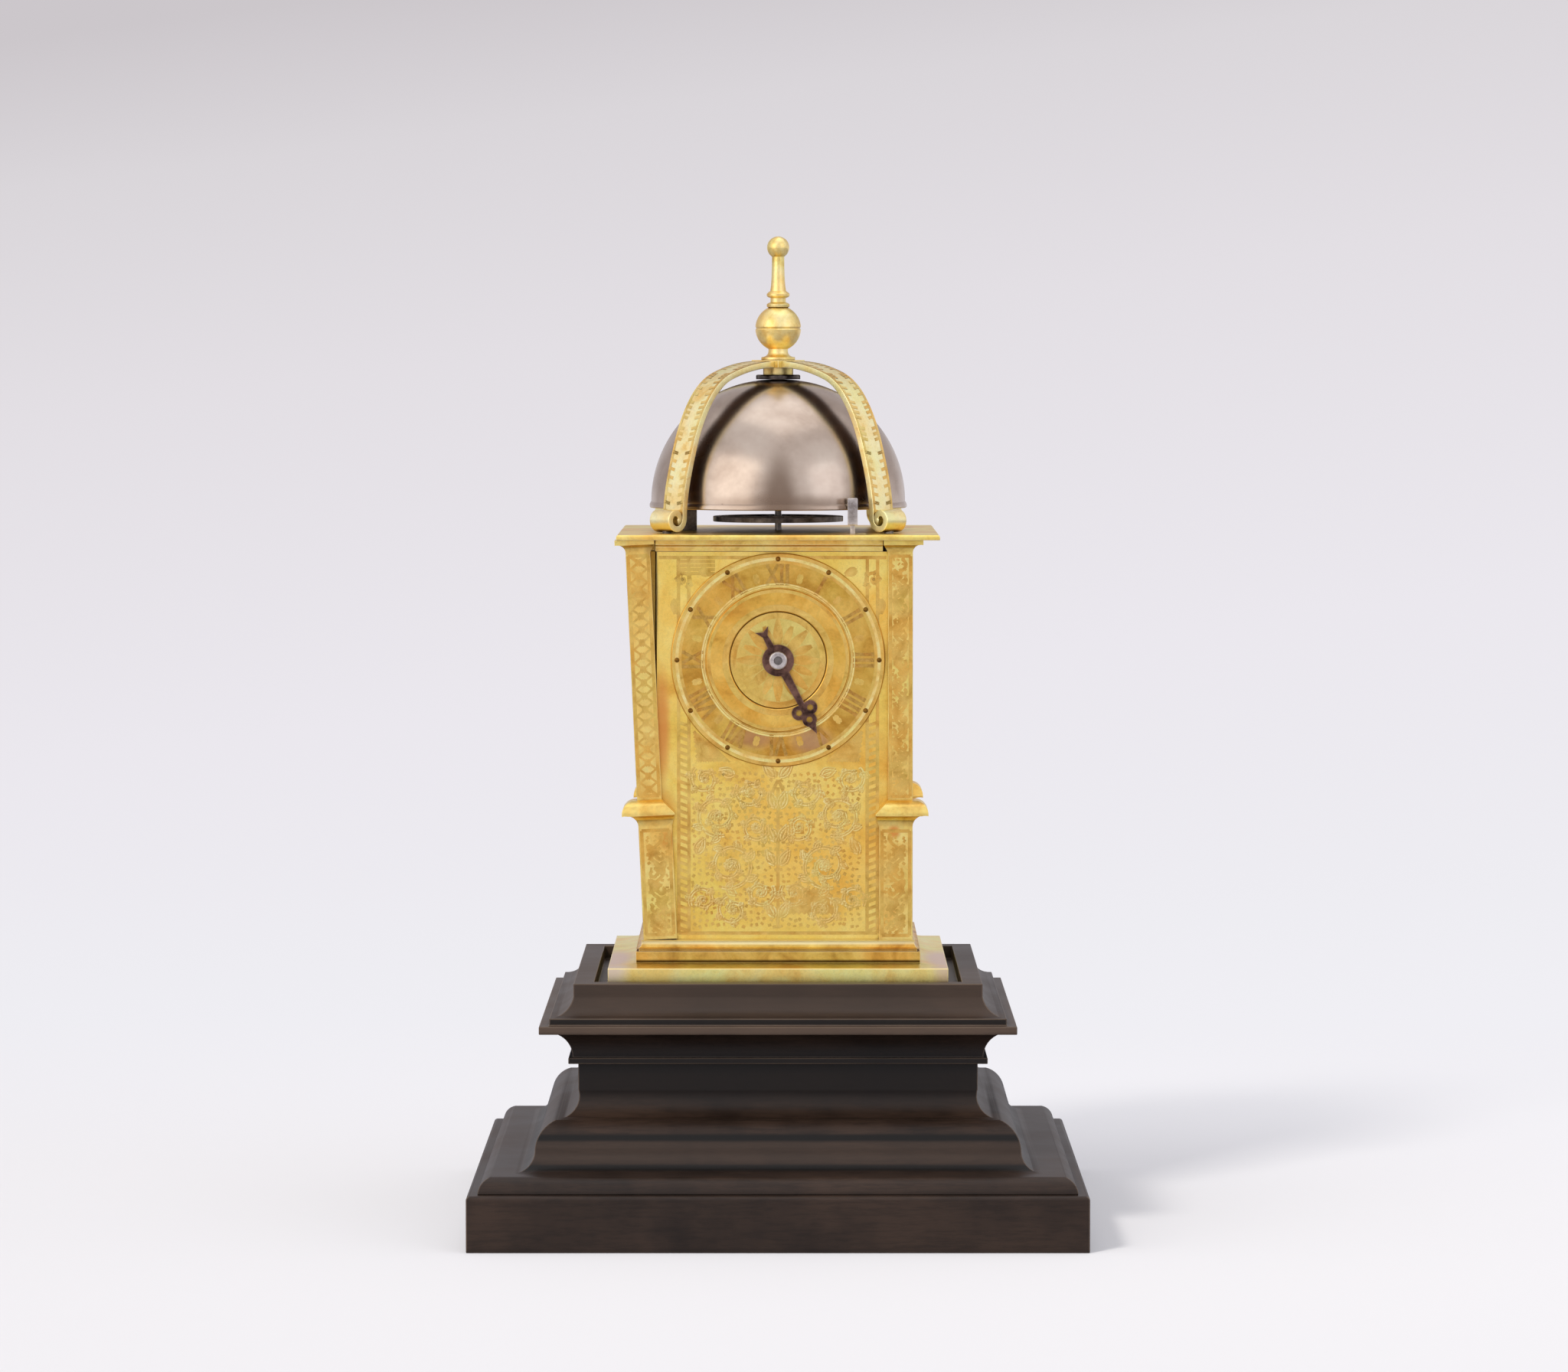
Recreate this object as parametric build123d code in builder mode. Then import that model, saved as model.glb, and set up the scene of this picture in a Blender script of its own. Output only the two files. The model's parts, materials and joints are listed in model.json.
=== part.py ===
from build123d import *
import os
from math import atan2, cos, floor, pi, radians, sin, sqrt

os.makedirs("parts", exist_ok=True)

# Gilt turret clock on a stepped base of ebonised wood.
# Millimetres, Z up, dial towards -Y, origin in the middle of the plinth's underside.

# Gilt case: outer faces of the pilasters stand case_half from the middle
case_half = 40.6
floor_margin = 0.7
floor_cove_width = 1.6
floor_band_height = 3.4
floor_quirk_depth = 0.9
floor_quirk_height = 0.8
floor_height = 6.7
foot_neck_margin = 0.7
foot_slope_width = 7.6
foot_slope_rise = 0.9
foot_edge_height = 7.7
dado_width = 10.1
dado_height = 34.2
ledge_reach = 4.7
ledge_inner_reach = 1.1
ledge_cove_height = 3.6
ledge_fillet_height = 0.6
ledge_height = 8.1
shaft_width = 7.4
shaft_height = 74.7
capital_reach = 3.1
capital_inner_reach = 1.4
capital_cove_height = 2.4
capital_height = 4.0
pilaster_lean = 2.6
plate_thickness = 1.6
plate_setback = 1.8
tongue_depth = 3.4
slide_clearance = 0.06
cornice_height = 3.6
cornice_setback = 0.4
cornice_groove = 0.7
cornice_groove_height = 1.4
cornice_slope_height = 0.6
cornice_end_gap = 0.2
top_reach = 8.0
top_thickness = 1.6

# Wooden base, from the recess round the foot outwards and down
foot_gap = 3.9
recess_depth = 4.1
cap_rim_width = 6.1
cap_cove_width = 7.0
cap_cove_height = 6.0
cap_quirk_depth = 3.0
cap_quirk_height = 2.1
cap_fillet_height = 2.4
cap_height = 14.2
cap_overhang = 4.2
waist_flare_width = 5.6
waist_bead_inset = 1.3
waist_bead_width = 2.9
waist_bead_height = 1.8
waist_bead_rise = 16.3
waist_cove_width = 6.2
waist_cove_height = 8.3
waist_quirk = 0.4
waist_height = 26.0
step_round_width = 6.0
step_cove_width = 6.0
step_cove_height = 6.0
step_flat_width = 6.5
step_ovolo_width = 3.8
step_ovolo_height = 4.9
step_height = 19.5
plinth_ledge = 3.3
plinth_height = 16.8
plinth_edge_round = 1.2

# Dial
dial_rise = 84.6
dial_margin = 0.9
chapter_thickness = 0.8
hour_band_width = 10.6
inner_ring_width = 7.1
inner_ring_thickness = 1.0
centre_gap = 0.2
centre_disc_thickness = 0.6
stud_inset = 1.8
stud_radius = 0.75
stud_height = 0.6
stud_count = 12

# Hand, seen from the front, clockwise from twelve
hand_angle = 152.0
hand_overreach = 3.4
hand_hub_radius = 4.8
hand_thickness = 0.9
hand_gap = 0.5
hand_stem_root = 3.0
hand_stem_end = 1.8
hand_head_length = 9.1
hand_point_length = 4.1
hand_point_width = 3.2
hand_eye_spread = 3.8
hand_eye_radius = 2.2
hand_eye_bore = 0.9
hand_low_eyes = 8.1
hand_high_eye = 4.9
hand_tail = 10.6
hand_tail_root = 2.8
hand_tail_neck = 1.6
hand_tail_end = 4.6
hand_tail_flare = 2.4
hand_tail_notch = 1.0
hand_arbor_show = 0.3
collet_radius = 2.8
collet_height = 1.3

# Bell, straps and finial
bell_inset = 1.6
bell_height = 39.2
bell_gap = 7.0
bell_wall = 1.6
bell_lip = 0.5
bell_lip_height = 1.2
bell_lip_slope = 0.6
bell_flat = 1.6
bell_bore = 2.0
washer_radius = 6.8
washer_thickness = 1.4
washer_edge_round = 0.5
nut_width = 8.0
nut_thickness = 3.0
nut_chamfer = 0.8
strap_width = 8.4
strap_thickness = 2.0
strap_gap = 2.6
strap_bend = ((0.925, 0.525), (0.763, 0.798), (0.563, 0.93))
scroll_radius = 4.4
scroll_offset = 0.4
scroll_flat = 0.15
scroll_groove_share = 0.62
scroll_groove_width = 0.5
scroll_groove_start = 100
scroll_groove_sweep = 225
hub_square = 11.6
hub_thickness = 2.4
hub_neck_radius = 4.6
hub_neck_height = 2.1
spool_radius = 5.2
spool_neck = 3.0
spool_edge = 0.9
spool_cove = 1.7
spool_neck_height = 0.8
collar_radius = 3.5
collar_chamfer = 0.3
low_collar_height = 0.9
high_collar_height = 1.3
collar_waist_height = 1.1
waist_radius = 2.35
ball_radius = 7.0
ball_groove = 0.35
stem_height = 10.5
stem_foot_radius = 2.3
stem_top_radius = 1.9
tip_radius = 3.4
stud_bolt_radius = 1.9
bolt_show = 0.8
screw_radius = 1.4
screw_rise = 3.0
screw_sink = 0.3

# Movement frame
post_width = 5.0
post_gap = 0.7
post_chamfer = 0.6
bar_width = 9.0
bar_thickness = 2.5
dial_work_space = 9.2
winding_space = 6.7
middle_bar_back = 6.5
lug_width = 5.6
running_clearance = 0.05
shoulder_gap = 0.3

# Gaps along the arbors, from front to back
hour_wheel_space = 4.4
second_wheel_space = 3.4
going_barrel_space = 1.2
great_wheel_space = 9.0
strike_wheel_space = 2.5
pin_wheel_space = 1.2
tail_wheel_gap = 1.4
tail_barrel_gap = 0.5
fly_space = 2.0
fly_barrel_gap = 1.0
leaf_overhang = 0.9

# Wheels: trapezoid teeth on wheels, slim leaves on pinions
gear_module = 0.8
great_teeth = 48
hour_teeth = 48
second_teeth = 40
pin_wheel_teeth = 40
pinion_leaves = 8
wheel_thickness = 1.3
rim_width = 2.4
spoke_width = 2.2
wheel_hub_radius = 4.0
pivot_radius = 0.9
fine_pivot_radius = 0.7
arbor_radius = 1.2
winding_arbor_radius = 1.5
winding_square = 2.6
winding_reach = 4.5
barrel_radius = 15.0
barrel_edge_round = 0.6
second_heading = 32.0
ratchet_teeth = 12
ratchet_radius = 5.2
ratchet_root = 4.0
ratchet_thickness = 1.3
click_outline = ((-0.2, 0.45), (-1.2, 0.85), (-3.9, 3.3), (-2.2, 4.9), (-0.2, 2.2))
click_eye = (-2.9, 4.0)
click_eye_radius = 1.4
strike_rise = 24.3
pin_heading = 42.0
fly_heading = 15.0
fly_reach = 11.0
fly_blade_thickness = 1.0
fly_arbor_radius = 1.0
pin_count = 8
pin_circle = 11.5
pin_radius = 0.6
pin_band_width = 2.4
pin_overreach = 1.0

# Escapement
crown_radius = 12.0
crown_rim = 1.3
crown_teeth = 15
crown_tip_gap = 2.6
crown_tooth_height = 3.6
crown_tooth_tip = 0.35
crown_tooth_lean = 0.3
crown_gap_foot = 0.9
crown_phase = 9.3
crown_depth = 9.2
crown_pivot_length = 1.1
pivot_end_gap = 0.1
verge_radius = 1.0
verge_way_gap = 0.5
verge_foot_gap = 2.6
verge_foot_pivot = 1.6
verge_foot_reach = 2.4
verge_foot_thickness = 2.0
potence_half = 2.8
potence_gap = 0.4
pallet_reach = 3.5
pallet_height = 2.2
pallet_thickness = 0.6
pallet_spread = 90.0
balance_radius = 20.0
balance_rim = 1.8
balance_thickness = 1.6
balance_rise = 2.7
cock_gap = 2.1
cock_reach = 27.5
cock_thickness = 1.8
cock_foot_length = 5.0
cock_foot_width = 7.0
cock_neck_width = 4.4
cock_eye_radius = 3.2

# Hammer
hammer_x = 22.5
hammer_arbor_drop = 18.7
hammer_gap = 0.5
head_width = 3.0
head_depth = 3.0
head_drop = 4.4
head_rise = 3.8
head_edge_round = 0.4
shank_width = 1.4
shank_slot_side = 0.6
shank_slot_travel = 3.3
tail_bend = 5.3
tail_bend_rise = 21.0
tail_heading = 57.1
tail_pin_gap = 0.35
tail_pad_radius = 1.2
tail_thickness = 1.2
tail_width = 1.8

# Side doors
jamb_show = 0.5
door_gap = 0.3
knuckle_radius = 1.2
hinge_pin_radius = 0.6
knuckle_length = 4.0
knuckle_gap = 0.15
jamb_knuckle_length = 3.0
hinge_rises = (16.0, 100.0)
hinge_pin_head = 0.4
hinge_stand = 0.1
hinge_root = 0.4
knob_radius = 1.7
knob_stalk = 3.0
knob_inset = 5.0
knob_rise = 38.6

# Half widths
floor_top_half = case_half + floor_margin
floor_half = floor_top_half + floor_cove_width
foot_neck_half = floor_half + foot_neck_margin
foot_half = foot_neck_half + foot_slope_width
recess_half = foot_half + foot_gap
cap_cove_half = recess_half + cap_rim_width
cap_quirk_half = cap_cove_half + cap_cove_width
cap_fillet_half = cap_quirk_half + cap_quirk_depth
waist_flare_half = cap_fillet_half - cap_overhang
waist_flare_foot_half = waist_flare_half - waist_flare_width
waist_bead_half = waist_flare_foot_half + waist_bead_inset
waist_half = waist_bead_half - waist_bead_width
waist_foot_half = waist_half + waist_cove_width
step_top_half = waist_foot_half + waist_quirk
step_cove_half = step_top_half + step_round_width
step_cove_foot_half = step_cove_half + step_cove_width
step_ovolo_half = step_cove_foot_half + step_flat_width
step_foot_half = step_ovolo_half + step_ovolo_width
plinth_half = step_foot_half + plinth_ledge
dado_inner = case_half - dado_width
ledge_inner = dado_inner - ledge_inner_reach
ledge_half = case_half + ledge_reach
shaft_inner = case_half - shaft_width
capital_inner = shaft_inner - capital_inner_reach
capital_half = case_half + capital_reach
top_half = case_half + top_reach
chapter_radius = shaft_inner - dial_margin
inner_ring_outer = chapter_radius - hour_band_width
inner_ring_inner = inner_ring_outer - inner_ring_width
centre_disc_radius = inner_ring_inner - centre_gap
stud_circle = chapter_radius - stud_inset
hand_reach = inner_ring_outer + hand_overreach
bell_radius = case_half - bell_inset

# Levels
step_seat = plinth_height
waist_seat = step_seat + step_height
cap_seat = waist_seat + waist_height
base_top = cap_seat + cap_height
recess_floor = base_top - recess_depth
foot_top = recess_floor + foot_edge_height + foot_slope_rise
floor_top = foot_top + floor_height
dado_top = floor_top + dado_height
ledge_top = dado_top + ledge_height
shaft_top = ledge_top + shaft_height
capital_top = shaft_top + capital_height
top_face = capital_top + top_thickness
cornice_seat = capital_top - cornice_height
plate_top = cornice_seat - slide_clearance
bell_rim = top_face + bell_gap
bell_apex = bell_rim + bell_height
washer_seat = bell_apex + slide_clearance
washer_face = washer_seat + washer_thickness
hub_low = washer_face + hub_neck_height
hub_top = hub_low + hub_thickness
strap_crown = hub_low + strap_thickness / 2 + slide_clearance

# Faces of the case and the bell, counted out from the middle
plate_face = case_half - plate_setback
plate_back = plate_face - plate_thickness
plate_half = shaft_inner + tongue_depth
jamb_edge = ledge_inner - jamb_show
door_half = jamb_edge - door_gap
post_reach = plate_back - post_gap - post_width / 2
strap_stand = bell_radius + strap_gap + strap_thickness / 2
scroll_reach = strap_stand + scroll_offset + scroll_radius

# Wheel places, as x and height
dial_height = floor_top + dial_rise


def centres(teeth_a, teeth_b):
    return gear_module * (teeth_a + teeth_b) / 2


def step_from(start, heading, distance):
    return start[0] + distance * sin(radians(heading)), start[1] + distance * cos(radians(heading))


hour_place = (0, dial_height)
great_place = (0, dial_height - centres(hour_teeth, pinion_leaves))
second_place = step_from(great_place, second_heading, centres(great_teeth, pinion_leaves))
crown_rise = sqrt(centres(second_teeth, pinion_leaves) ** 2 - second_place[0] ** 2)
crown_place = (0, second_place[1] + crown_rise)
strike_place = (0, floor_top + strike_rise)
pin_place = step_from(strike_place, pin_heading, centres(great_teeth, pinion_leaves))
fly_place = step_from(pin_place, fly_heading, centres(pin_wheel_teeth, pinion_leaves))
hammer_place = (hammer_x, capital_top - hammer_arbor_drop)

# Places along Y: the trains lie between a front, a middle and a back bar
front_bar_front = dial_work_space - plate_back
front_bar_back = front_bar_front + bar_thickness
middle_bar_front = middle_bar_back - bar_thickness
back_bar_back = plate_back - winding_space
back_bar_front = back_bar_back - bar_thickness
hour_wheel_back = front_bar_front - hour_wheel_space
hour_wheel_front = hour_wheel_back - wheel_thickness
report_front = hour_wheel_front - leaf_overhang
second_wheel_front = front_bar_back + second_wheel_space
second_wheel_back = second_wheel_front + wheel_thickness
barrel_front = second_wheel_back + going_barrel_space
great_wheel_back = middle_bar_front - great_wheel_space
great_wheel_front = great_wheel_back - wheel_thickness
crown_tips = -crown_tip_gap
crown_web_front = crown_tips - crown_depth
crown_web_back = crown_web_front + wheel_thickness
potence_front = crown_tips - potence_gap
strike_wheel_front = middle_bar_back + strike_wheel_space
strike_wheel_back = strike_wheel_front + wheel_thickness
pin_wheel_back = back_bar_front - pin_wheel_space
pin_wheel_front = pin_wheel_back - wheel_thickness
tail_back = pin_wheel_front - tail_wheel_gap
tail_front = tail_back - tail_thickness
strike_barrel_back = tail_front - tail_barrel_gap
fly_front = middle_bar_back + fly_space
fly_back = strike_barrel_back - fly_barrel_gap
arbor_end = plate_face + winding_reach


def finish(part, name):
    part.label = name
    export_step(part, f"parts/{name}.step")


def cove(start, end):
    TangentArc(start, end, tangent=(-1, 0))


def round_over(start, end):
    TangentArc(start, end, tangent=(0, 1))


def square_moulding(draw_edge, low, foot, top, high):
    """A mitred square block: one edge drawn in both upright planes, and what they share kept."""
    with BuildPart() as block:
        for plane, mode in ((Plane.XZ, Mode.ADD), (Plane.YZ, Mode.INTERSECT)):
            with BuildSketch(plane):
                with BuildLine():
                    Line((0, low), (foot, low))
                    draw_edge()
                    Line((top, high), (0, high))
                    mirror(about=Plane.YZ)
                make_face()
            extrude(amount=2 * foot, both=True, mode=mode)
    return block


def rod(radius, place, front, back, mode=Mode.ADD):
    with Locations((place[0], (front + back) / 2, place[1])):
        Cylinder(radius, back - front, rotation=(90, 0, 0), mode=mode)


def post(radius, x, y, low, high, mode=Mode.ADD):
    with Locations((x, y, (low + high) / 2)):
        Cylinder(radius, high - low, mode=mode)


def block(x0, x1, y0, y1, z0, z1, mode=Mode.ADD):
    with Locations(((x0 + x1) / 2, (y0 + y1) / 2, (z0 + z1) / 2)):
        Box(x1 - x0, y1 - y0, z1 - z0, mode=mode)


def facing_front(back, place=(0, 0)):
    return Plane((place[0], back, place[1]), x_dir=(1, 0, 0), z_dir=(0, -1, 0))


# Wooden base

with BuildPart() as base_plinth:
    block(-plinth_half, plinth_half, -plinth_half, plinth_half, 0, plinth_height)
    fillet(base_plinth.faces().sort_by(Axis.Z)[-1].edges(), plinth_edge_round)
finish(base_plinth.part, "base_plinth")


def step_edge():
    ovolo_top = step_seat + step_ovolo_height
    cove_top = ovolo_top + step_cove_height
    round_over((step_foot_half, step_seat), (step_ovolo_half, ovolo_top))
    Line((step_ovolo_half, ovolo_top), (step_cove_foot_half, ovolo_top))
    cove((step_cove_foot_half, ovolo_top), (step_cove_half, cove_top))
    round_over((step_cove_half, cove_top), (step_top_half, waist_seat))


base_step_moulding = square_moulding(step_edge, step_seat, step_foot_half, step_top_half, waist_seat)
finish(base_step_moulding.part, "base_step_moulding")


def waist_edge():
    cove_top = waist_seat + waist_cove_height
    bead_low = waist_seat + waist_bead_rise
    bead_top = bead_low + waist_bead_height
    cove((waist_foot_half, waist_seat), (waist_half, cove_top))
    Line((waist_half, cove_top), (waist_half, bead_low))
    Line((waist_half, bead_low), (waist_bead_half, bead_low))
    Line((waist_bead_half, bead_low), (waist_bead_half, bead_top))
    Line((waist_bead_half, bead_top), (waist_flare_foot_half, bead_top))
    round_over((waist_flare_foot_half, bead_top), (waist_flare_half, cap_seat))


base_waist = square_moulding(waist_edge, waist_seat, waist_foot_half, waist_flare_half, cap_seat)
finish(base_waist.part, "base_waist")


def cap_edge():
    fillet_top = cap_seat + cap_fillet_height
    quirk_top = fillet_top + cap_quirk_height
    cove_top = quirk_top + cap_cove_height
    Line((cap_fillet_half, cap_seat), (cap_fillet_half, fillet_top))
    Line((cap_fillet_half, fillet_top), (cap_quirk_half, fillet_top))
    Line((cap_quirk_half, fillet_top), (cap_quirk_half, quirk_top))
    cove((cap_quirk_half, quirk_top), (cap_cove_half, cove_top))
    Line((cap_cove_half, cove_top), (cap_cove_half, base_top))


cap_block = square_moulding(cap_edge, cap_seat, cap_fillet_half, cap_cove_half, base_top)
with BuildPart() as base_cap:
    add(cap_block.part)
    block(-recess_half, recess_half, -recess_half, recess_half, recess_floor, base_top, Mode.SUBTRACT)
finish(base_cap.part, "base_cap")

# Gilt foot and case floor


def foot_edge():
    edge_top = foot_top - foot_slope_rise
    Line((foot_half, recess_floor), (foot_half, edge_top))
    cove((foot_half, edge_top), (foot_neck_half, foot_top))


foot_plate = square_moulding(foot_edge, recess_floor, foot_half, foot_neck_half, foot_top)
finish(foot_plate.part, "foot_plate")


def floor_edge():
    band_top = foot_top + floor_band_height
    quirk_top = band_top + floor_quirk_height
    quirk_half = floor_half - floor_quirk_depth
    Line((floor_half, foot_top), (floor_half, band_top))
    Line((floor_half, band_top), (quirk_half, band_top))
    Line((quirk_half, band_top), (quirk_half, quirk_top))
    Line((quirk_half, quirk_top), (floor_half, quirk_top))
    cove((floor_half, quirk_top), (floor_top_half, floor_top))


floor_plate = square_moulding(floor_edge, foot_top, floor_half, floor_top_half, floor_top)
finish(floor_plate.part, "floor_plate")

# Corner pilasters: dado, ledge, shaft and capital, mitred round the corner,
# with a jamb for the side door and a groove for the front or back plate


def pilaster_edge():
    cove_top = dado_top + ledge_cove_height
    fillet_top = cove_top + ledge_fillet_height
    capital_cove_top = shaft_top + capital_cove_height
    Line((dado_inner, floor_top), (case_half, floor_top))
    Line((case_half, floor_top), (case_half, dado_top))
    round_over((case_half, dado_top), (ledge_half, cove_top))
    Line((ledge_half, cove_top), (ledge_half, fillet_top))
    round_over((ledge_half, fillet_top), (case_half, ledge_top))
    Line((case_half, ledge_top), (case_half, shaft_top))
    round_over((case_half, shaft_top), (capital_half, capital_cove_top))
    Line((capital_half, capital_cove_top), (capital_half, capital_top))
    Line((capital_half, capital_top), (capital_inner, capital_top))
    Line((capital_inner, capital_top), (capital_inner, capital_cove_top))
    Line((capital_inner, capital_cove_top), (shaft_inner, shaft_top))
    Line((shaft_inner, shaft_top), (shaft_inner, ledge_top))
    Line((shaft_inner, ledge_top), (ledge_inner, fillet_top))
    Line((ledge_inner, fillet_top), (ledge_inner, cove_top))
    Line((ledge_inner, cove_top), (dado_inner, dado_top))
    Line((dado_inner, dado_top), (dado_inner, floor_top))


with BuildPart() as corner:
    for plane, mode in ((Plane.XZ, Mode.ADD), (Plane.YZ, Mode.INTERSECT)):
        with BuildSketch(plane):
            with BuildLine():
                pilaster_edge()
            make_face()
        extrude(amount=top_half, both=True, mode=mode)
    block(0, plate_back, 0, plate_back, floor_top, capital_top, Mode.SUBTRACT)
    block(plate_back, plate_face, jamb_edge, shaft_inner, floor_top, cornice_seat)

hinge_x = plate_face + knuckle_radius + hinge_stand
hinge_y = door_half + door_gap / 2
with BuildPart() as hinged_corner:
    add(corner.part)
    for rise in hinge_rises:
        door_knuckle = floor_top + rise
        for low in (door_knuckle - knuckle_gap - jamb_knuckle_length,
                    door_knuckle + knuckle_length + knuckle_gap):
            high = low + jamb_knuckle_length
            post(knuckle_radius, hinge_x, hinge_y, low, high)
            block(plate_face, hinge_x, jamb_edge, hinge_y + knuckle_radius, low, high)
            post(hinge_pin_radius + running_clearance, hinge_x, hinge_y, low, high, Mode.SUBTRACT)

for side, x_sign in (("left", -1), ("right", 1)):
    for end, y_sign in (("front", -1), ("back", 1)):
        name = f"pilaster_{end}_{side}"
        placed = hinged_corner.part if end == "back" else corner.part
        if x_sign < 0:
            placed = placed.mirror(Plane.YZ)
        if y_sign < 0:
            placed = placed.mirror(Plane.XZ)
        if name == "pilaster_front_left":
            foot_line = Axis((-case_half, 0, floor_top), (0, -1, 0))
            placed = placed.rotate(foot_line, pilaster_lean)
        slot_back = y_sign * (plate_back - slide_clearance)
        slot_face = y_sign * (plate_face + slide_clearance)
        slot_half = plate_half + slide_clearance
        with BuildPart() as pilaster:
            add(placed)
            block(-slot_half, slot_half, min(slot_back, slot_face), max(slot_back, slot_face),
                  floor_top, cornice_seat, Mode.SUBTRACT)
            block(-2 * top_half, 2 * top_half, -2 * top_half, 2 * top_half,
                  capital_top, 2 * capital_top, Mode.SUBTRACT)
        finish(pilaster.part, name)

# Front plate with the hole for the hour arbor, and back plate with two winding holes

with BuildPart() as front_plate:
    block(-plate_half, plate_half, -plate_face, -plate_back, floor_top, plate_top)
    rod(arbor_radius + running_clearance, hour_place, -case_half, 0, Mode.SUBTRACT)
finish(front_plate.part, "front_plate")

with BuildPart() as back_plate:
    block(-plate_half, plate_half, plate_back, plate_face, floor_top, plate_top)
    for place in (great_place, strike_place):
        rod(winding_arbor_radius + running_clearance, place, 0, case_half, Mode.SUBTRACT)
finish(back_plate.part, "back_plate")

# Cornice strips between the capitals, each with a groove along its face;
# the front one runs on to the capital of the leaning pilaster

cornice_half = capital_inner - cornice_end_gap
cornice_face = case_half - cornice_setback
groove_face = cornice_face - cornice_groove
groove_top = cornice_seat + cornice_groove_height
capital_shift = (shaft_top + capital_cove_height - floor_top) * sin(radians(pilaster_lean))
for name, turn in (("front", 0), ("right", 90), ("back", 180), ("left", 270)):
    left_half = cornice_half + capital_shift if name == "front" else cornice_half
    with BuildPart() as cornice:
        with BuildSketch(Plane.YZ.offset(-left_half)):
            with BuildLine():
                Polyline((-plate_back, cornice_seat), (-groove_face, cornice_seat),
                         (-groove_face, groove_top), (-cornice_face, groove_top + cornice_slope_height),
                         (-cornice_face, capital_top), (-plate_back, capital_top), close=True)
            make_face()
        extrude(amount=left_half + cornice_half)
    finish(cornice.part.rotate(Axis.Z, turn), f"cornice_{name}")

# Top plate, pierced for the verge, the hammer and the strap screws

head_back = -sqrt((bell_radius + bell_lip + hammer_gap) ** 2 - (hammer_x - head_width / 2) ** 2)
shank_middle = head_back - head_depth / 2
scroll_corner = scroll_reach / sqrt(2)

with BuildPart() as top_plate:
    block(-top_half, top_half, -top_half, top_half, capital_top, top_face)
    fillet(top_plate.faces().sort_by(Axis.Z)[-1].edges(), 0.5 * top_thickness)
    post(2 * verge_radius, 0, 0, capital_top, top_face, Mode.SUBTRACT)
    slot_side = shank_width / 2 + shank_slot_side
    block(hammer_x - slot_side, hammer_x + shank_width / 2 + shank_slot_travel, shank_middle - slot_side,
          shank_middle + slot_side, capital_top, top_face, Mode.SUBTRACT)
    for x in (-scroll_corner, scroll_corner):
        for y in (-scroll_corner, scroll_corner):
            post(screw_radius + slide_clearance, x, y, capital_top, top_face, Mode.SUBTRACT)
finish(top_plate.part, "top_plate")

# Dial

chapter_face = plate_face + chapter_thickness
with BuildPart() as chapter_disc:
    rod(chapter_radius, hour_place, -chapter_face, -plate_face)
    fillet(chapter_disc.faces().sort_by(Axis.Y)[0].edges(), 0.5 * chapter_thickness)
    rod(arbor_radius + running_clearance, hour_place, -case_half, 0, Mode.SUBTRACT)
finish(chapter_disc.part, "chapter_disc")

ring_face = chapter_face + inner_ring_thickness
with BuildPart() as dial_ring:
    rod(inner_ring_outer, hour_place, -ring_face, -chapter_face)
    rod(inner_ring_inner, hour_place, -ring_face, -chapter_face, Mode.SUBTRACT)
    fillet(dial_ring.faces().sort_by(Axis.Y)[0].edges(), 0.6 * inner_ring_thickness)
finish(dial_ring.part, "dial_ring")

with BuildPart() as dial_centre:
    rod(centre_disc_radius, hour_place, -chapter_face - centre_disc_thickness, -chapter_face)
    rod(arbor_radius + running_clearance, hour_place, -2 * case_half, 0, Mode.SUBTRACT)
finish(dial_centre.part, "dial_centre")

with BuildPart() as touch_studs:
    for hour in range(stud_count):
        place = step_from(hour_place, 360 * hour / stud_count, stud_circle)
        rod(stud_radius, place, -chapter_face - stud_height, -chapter_face)
    fillet(touch_studs.faces().group_by(Axis.Y)[0].edges(), 0.6 * stud_height)
finish(touch_studs.part, "touch_studs")

# Hand: hub, tapered stem, pierced head with a point, and a flared tail

hand_back = -ring_face - hand_gap
hand_front = hand_back - hand_thickness
hand_way = (sin(radians(hand_angle)), 0, cos(radians(hand_angle)))
hand_plane = Plane((0, hand_back, dial_height), x_dir=hand_way, z_dir=(0, -1, 0))
stem_end = hand_reach - hand_head_length
point_foot = hand_reach - hand_point_length
eyes = ((hand_reach - hand_low_eyes, hand_eye_spread / 2), (hand_reach - hand_low_eyes, -hand_eye_spread / 2),
        (hand_reach - hand_high_eye, 0))
tail_flare_start = hand_tail_flare - hand_tail
with BuildPart() as hour_hand:
    with BuildSketch(hand_plane):
        Circle(hand_hub_radius)
        with BuildLine():
            Polyline((0, hand_stem_root / 2), (stem_end, hand_stem_end / 2), (stem_end, -hand_stem_end / 2),
                     (0, -hand_stem_root / 2), close=True)
        make_face()
        with BuildLine():
            Polyline((point_foot, hand_point_width / 2), (hand_reach, 0), (point_foot, -hand_point_width / 2),
                     close=True)
        make_face()
        with Locations(*eyes):
            Circle(hand_eye_radius)
        with Locations(*eyes):
            Circle(hand_eye_bore, mode=Mode.SUBTRACT)
        with BuildLine():
            Polyline((0, hand_tail_root / 2), (tail_flare_start, hand_tail_neck / 2),
                     (-hand_tail, hand_tail_end / 2), (hand_tail_notch - hand_tail, 0),
                     (-hand_tail, -hand_tail_end / 2), (tail_flare_start, -hand_tail_neck / 2),
                     (0, -hand_tail_root / 2), close=True)
        make_face()
        Circle(arbor_radius + slide_clearance, mode=Mode.SUBTRACT)
    extrude(amount=hand_thickness)
finish(hour_hand.part, "hour_hand")

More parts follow.
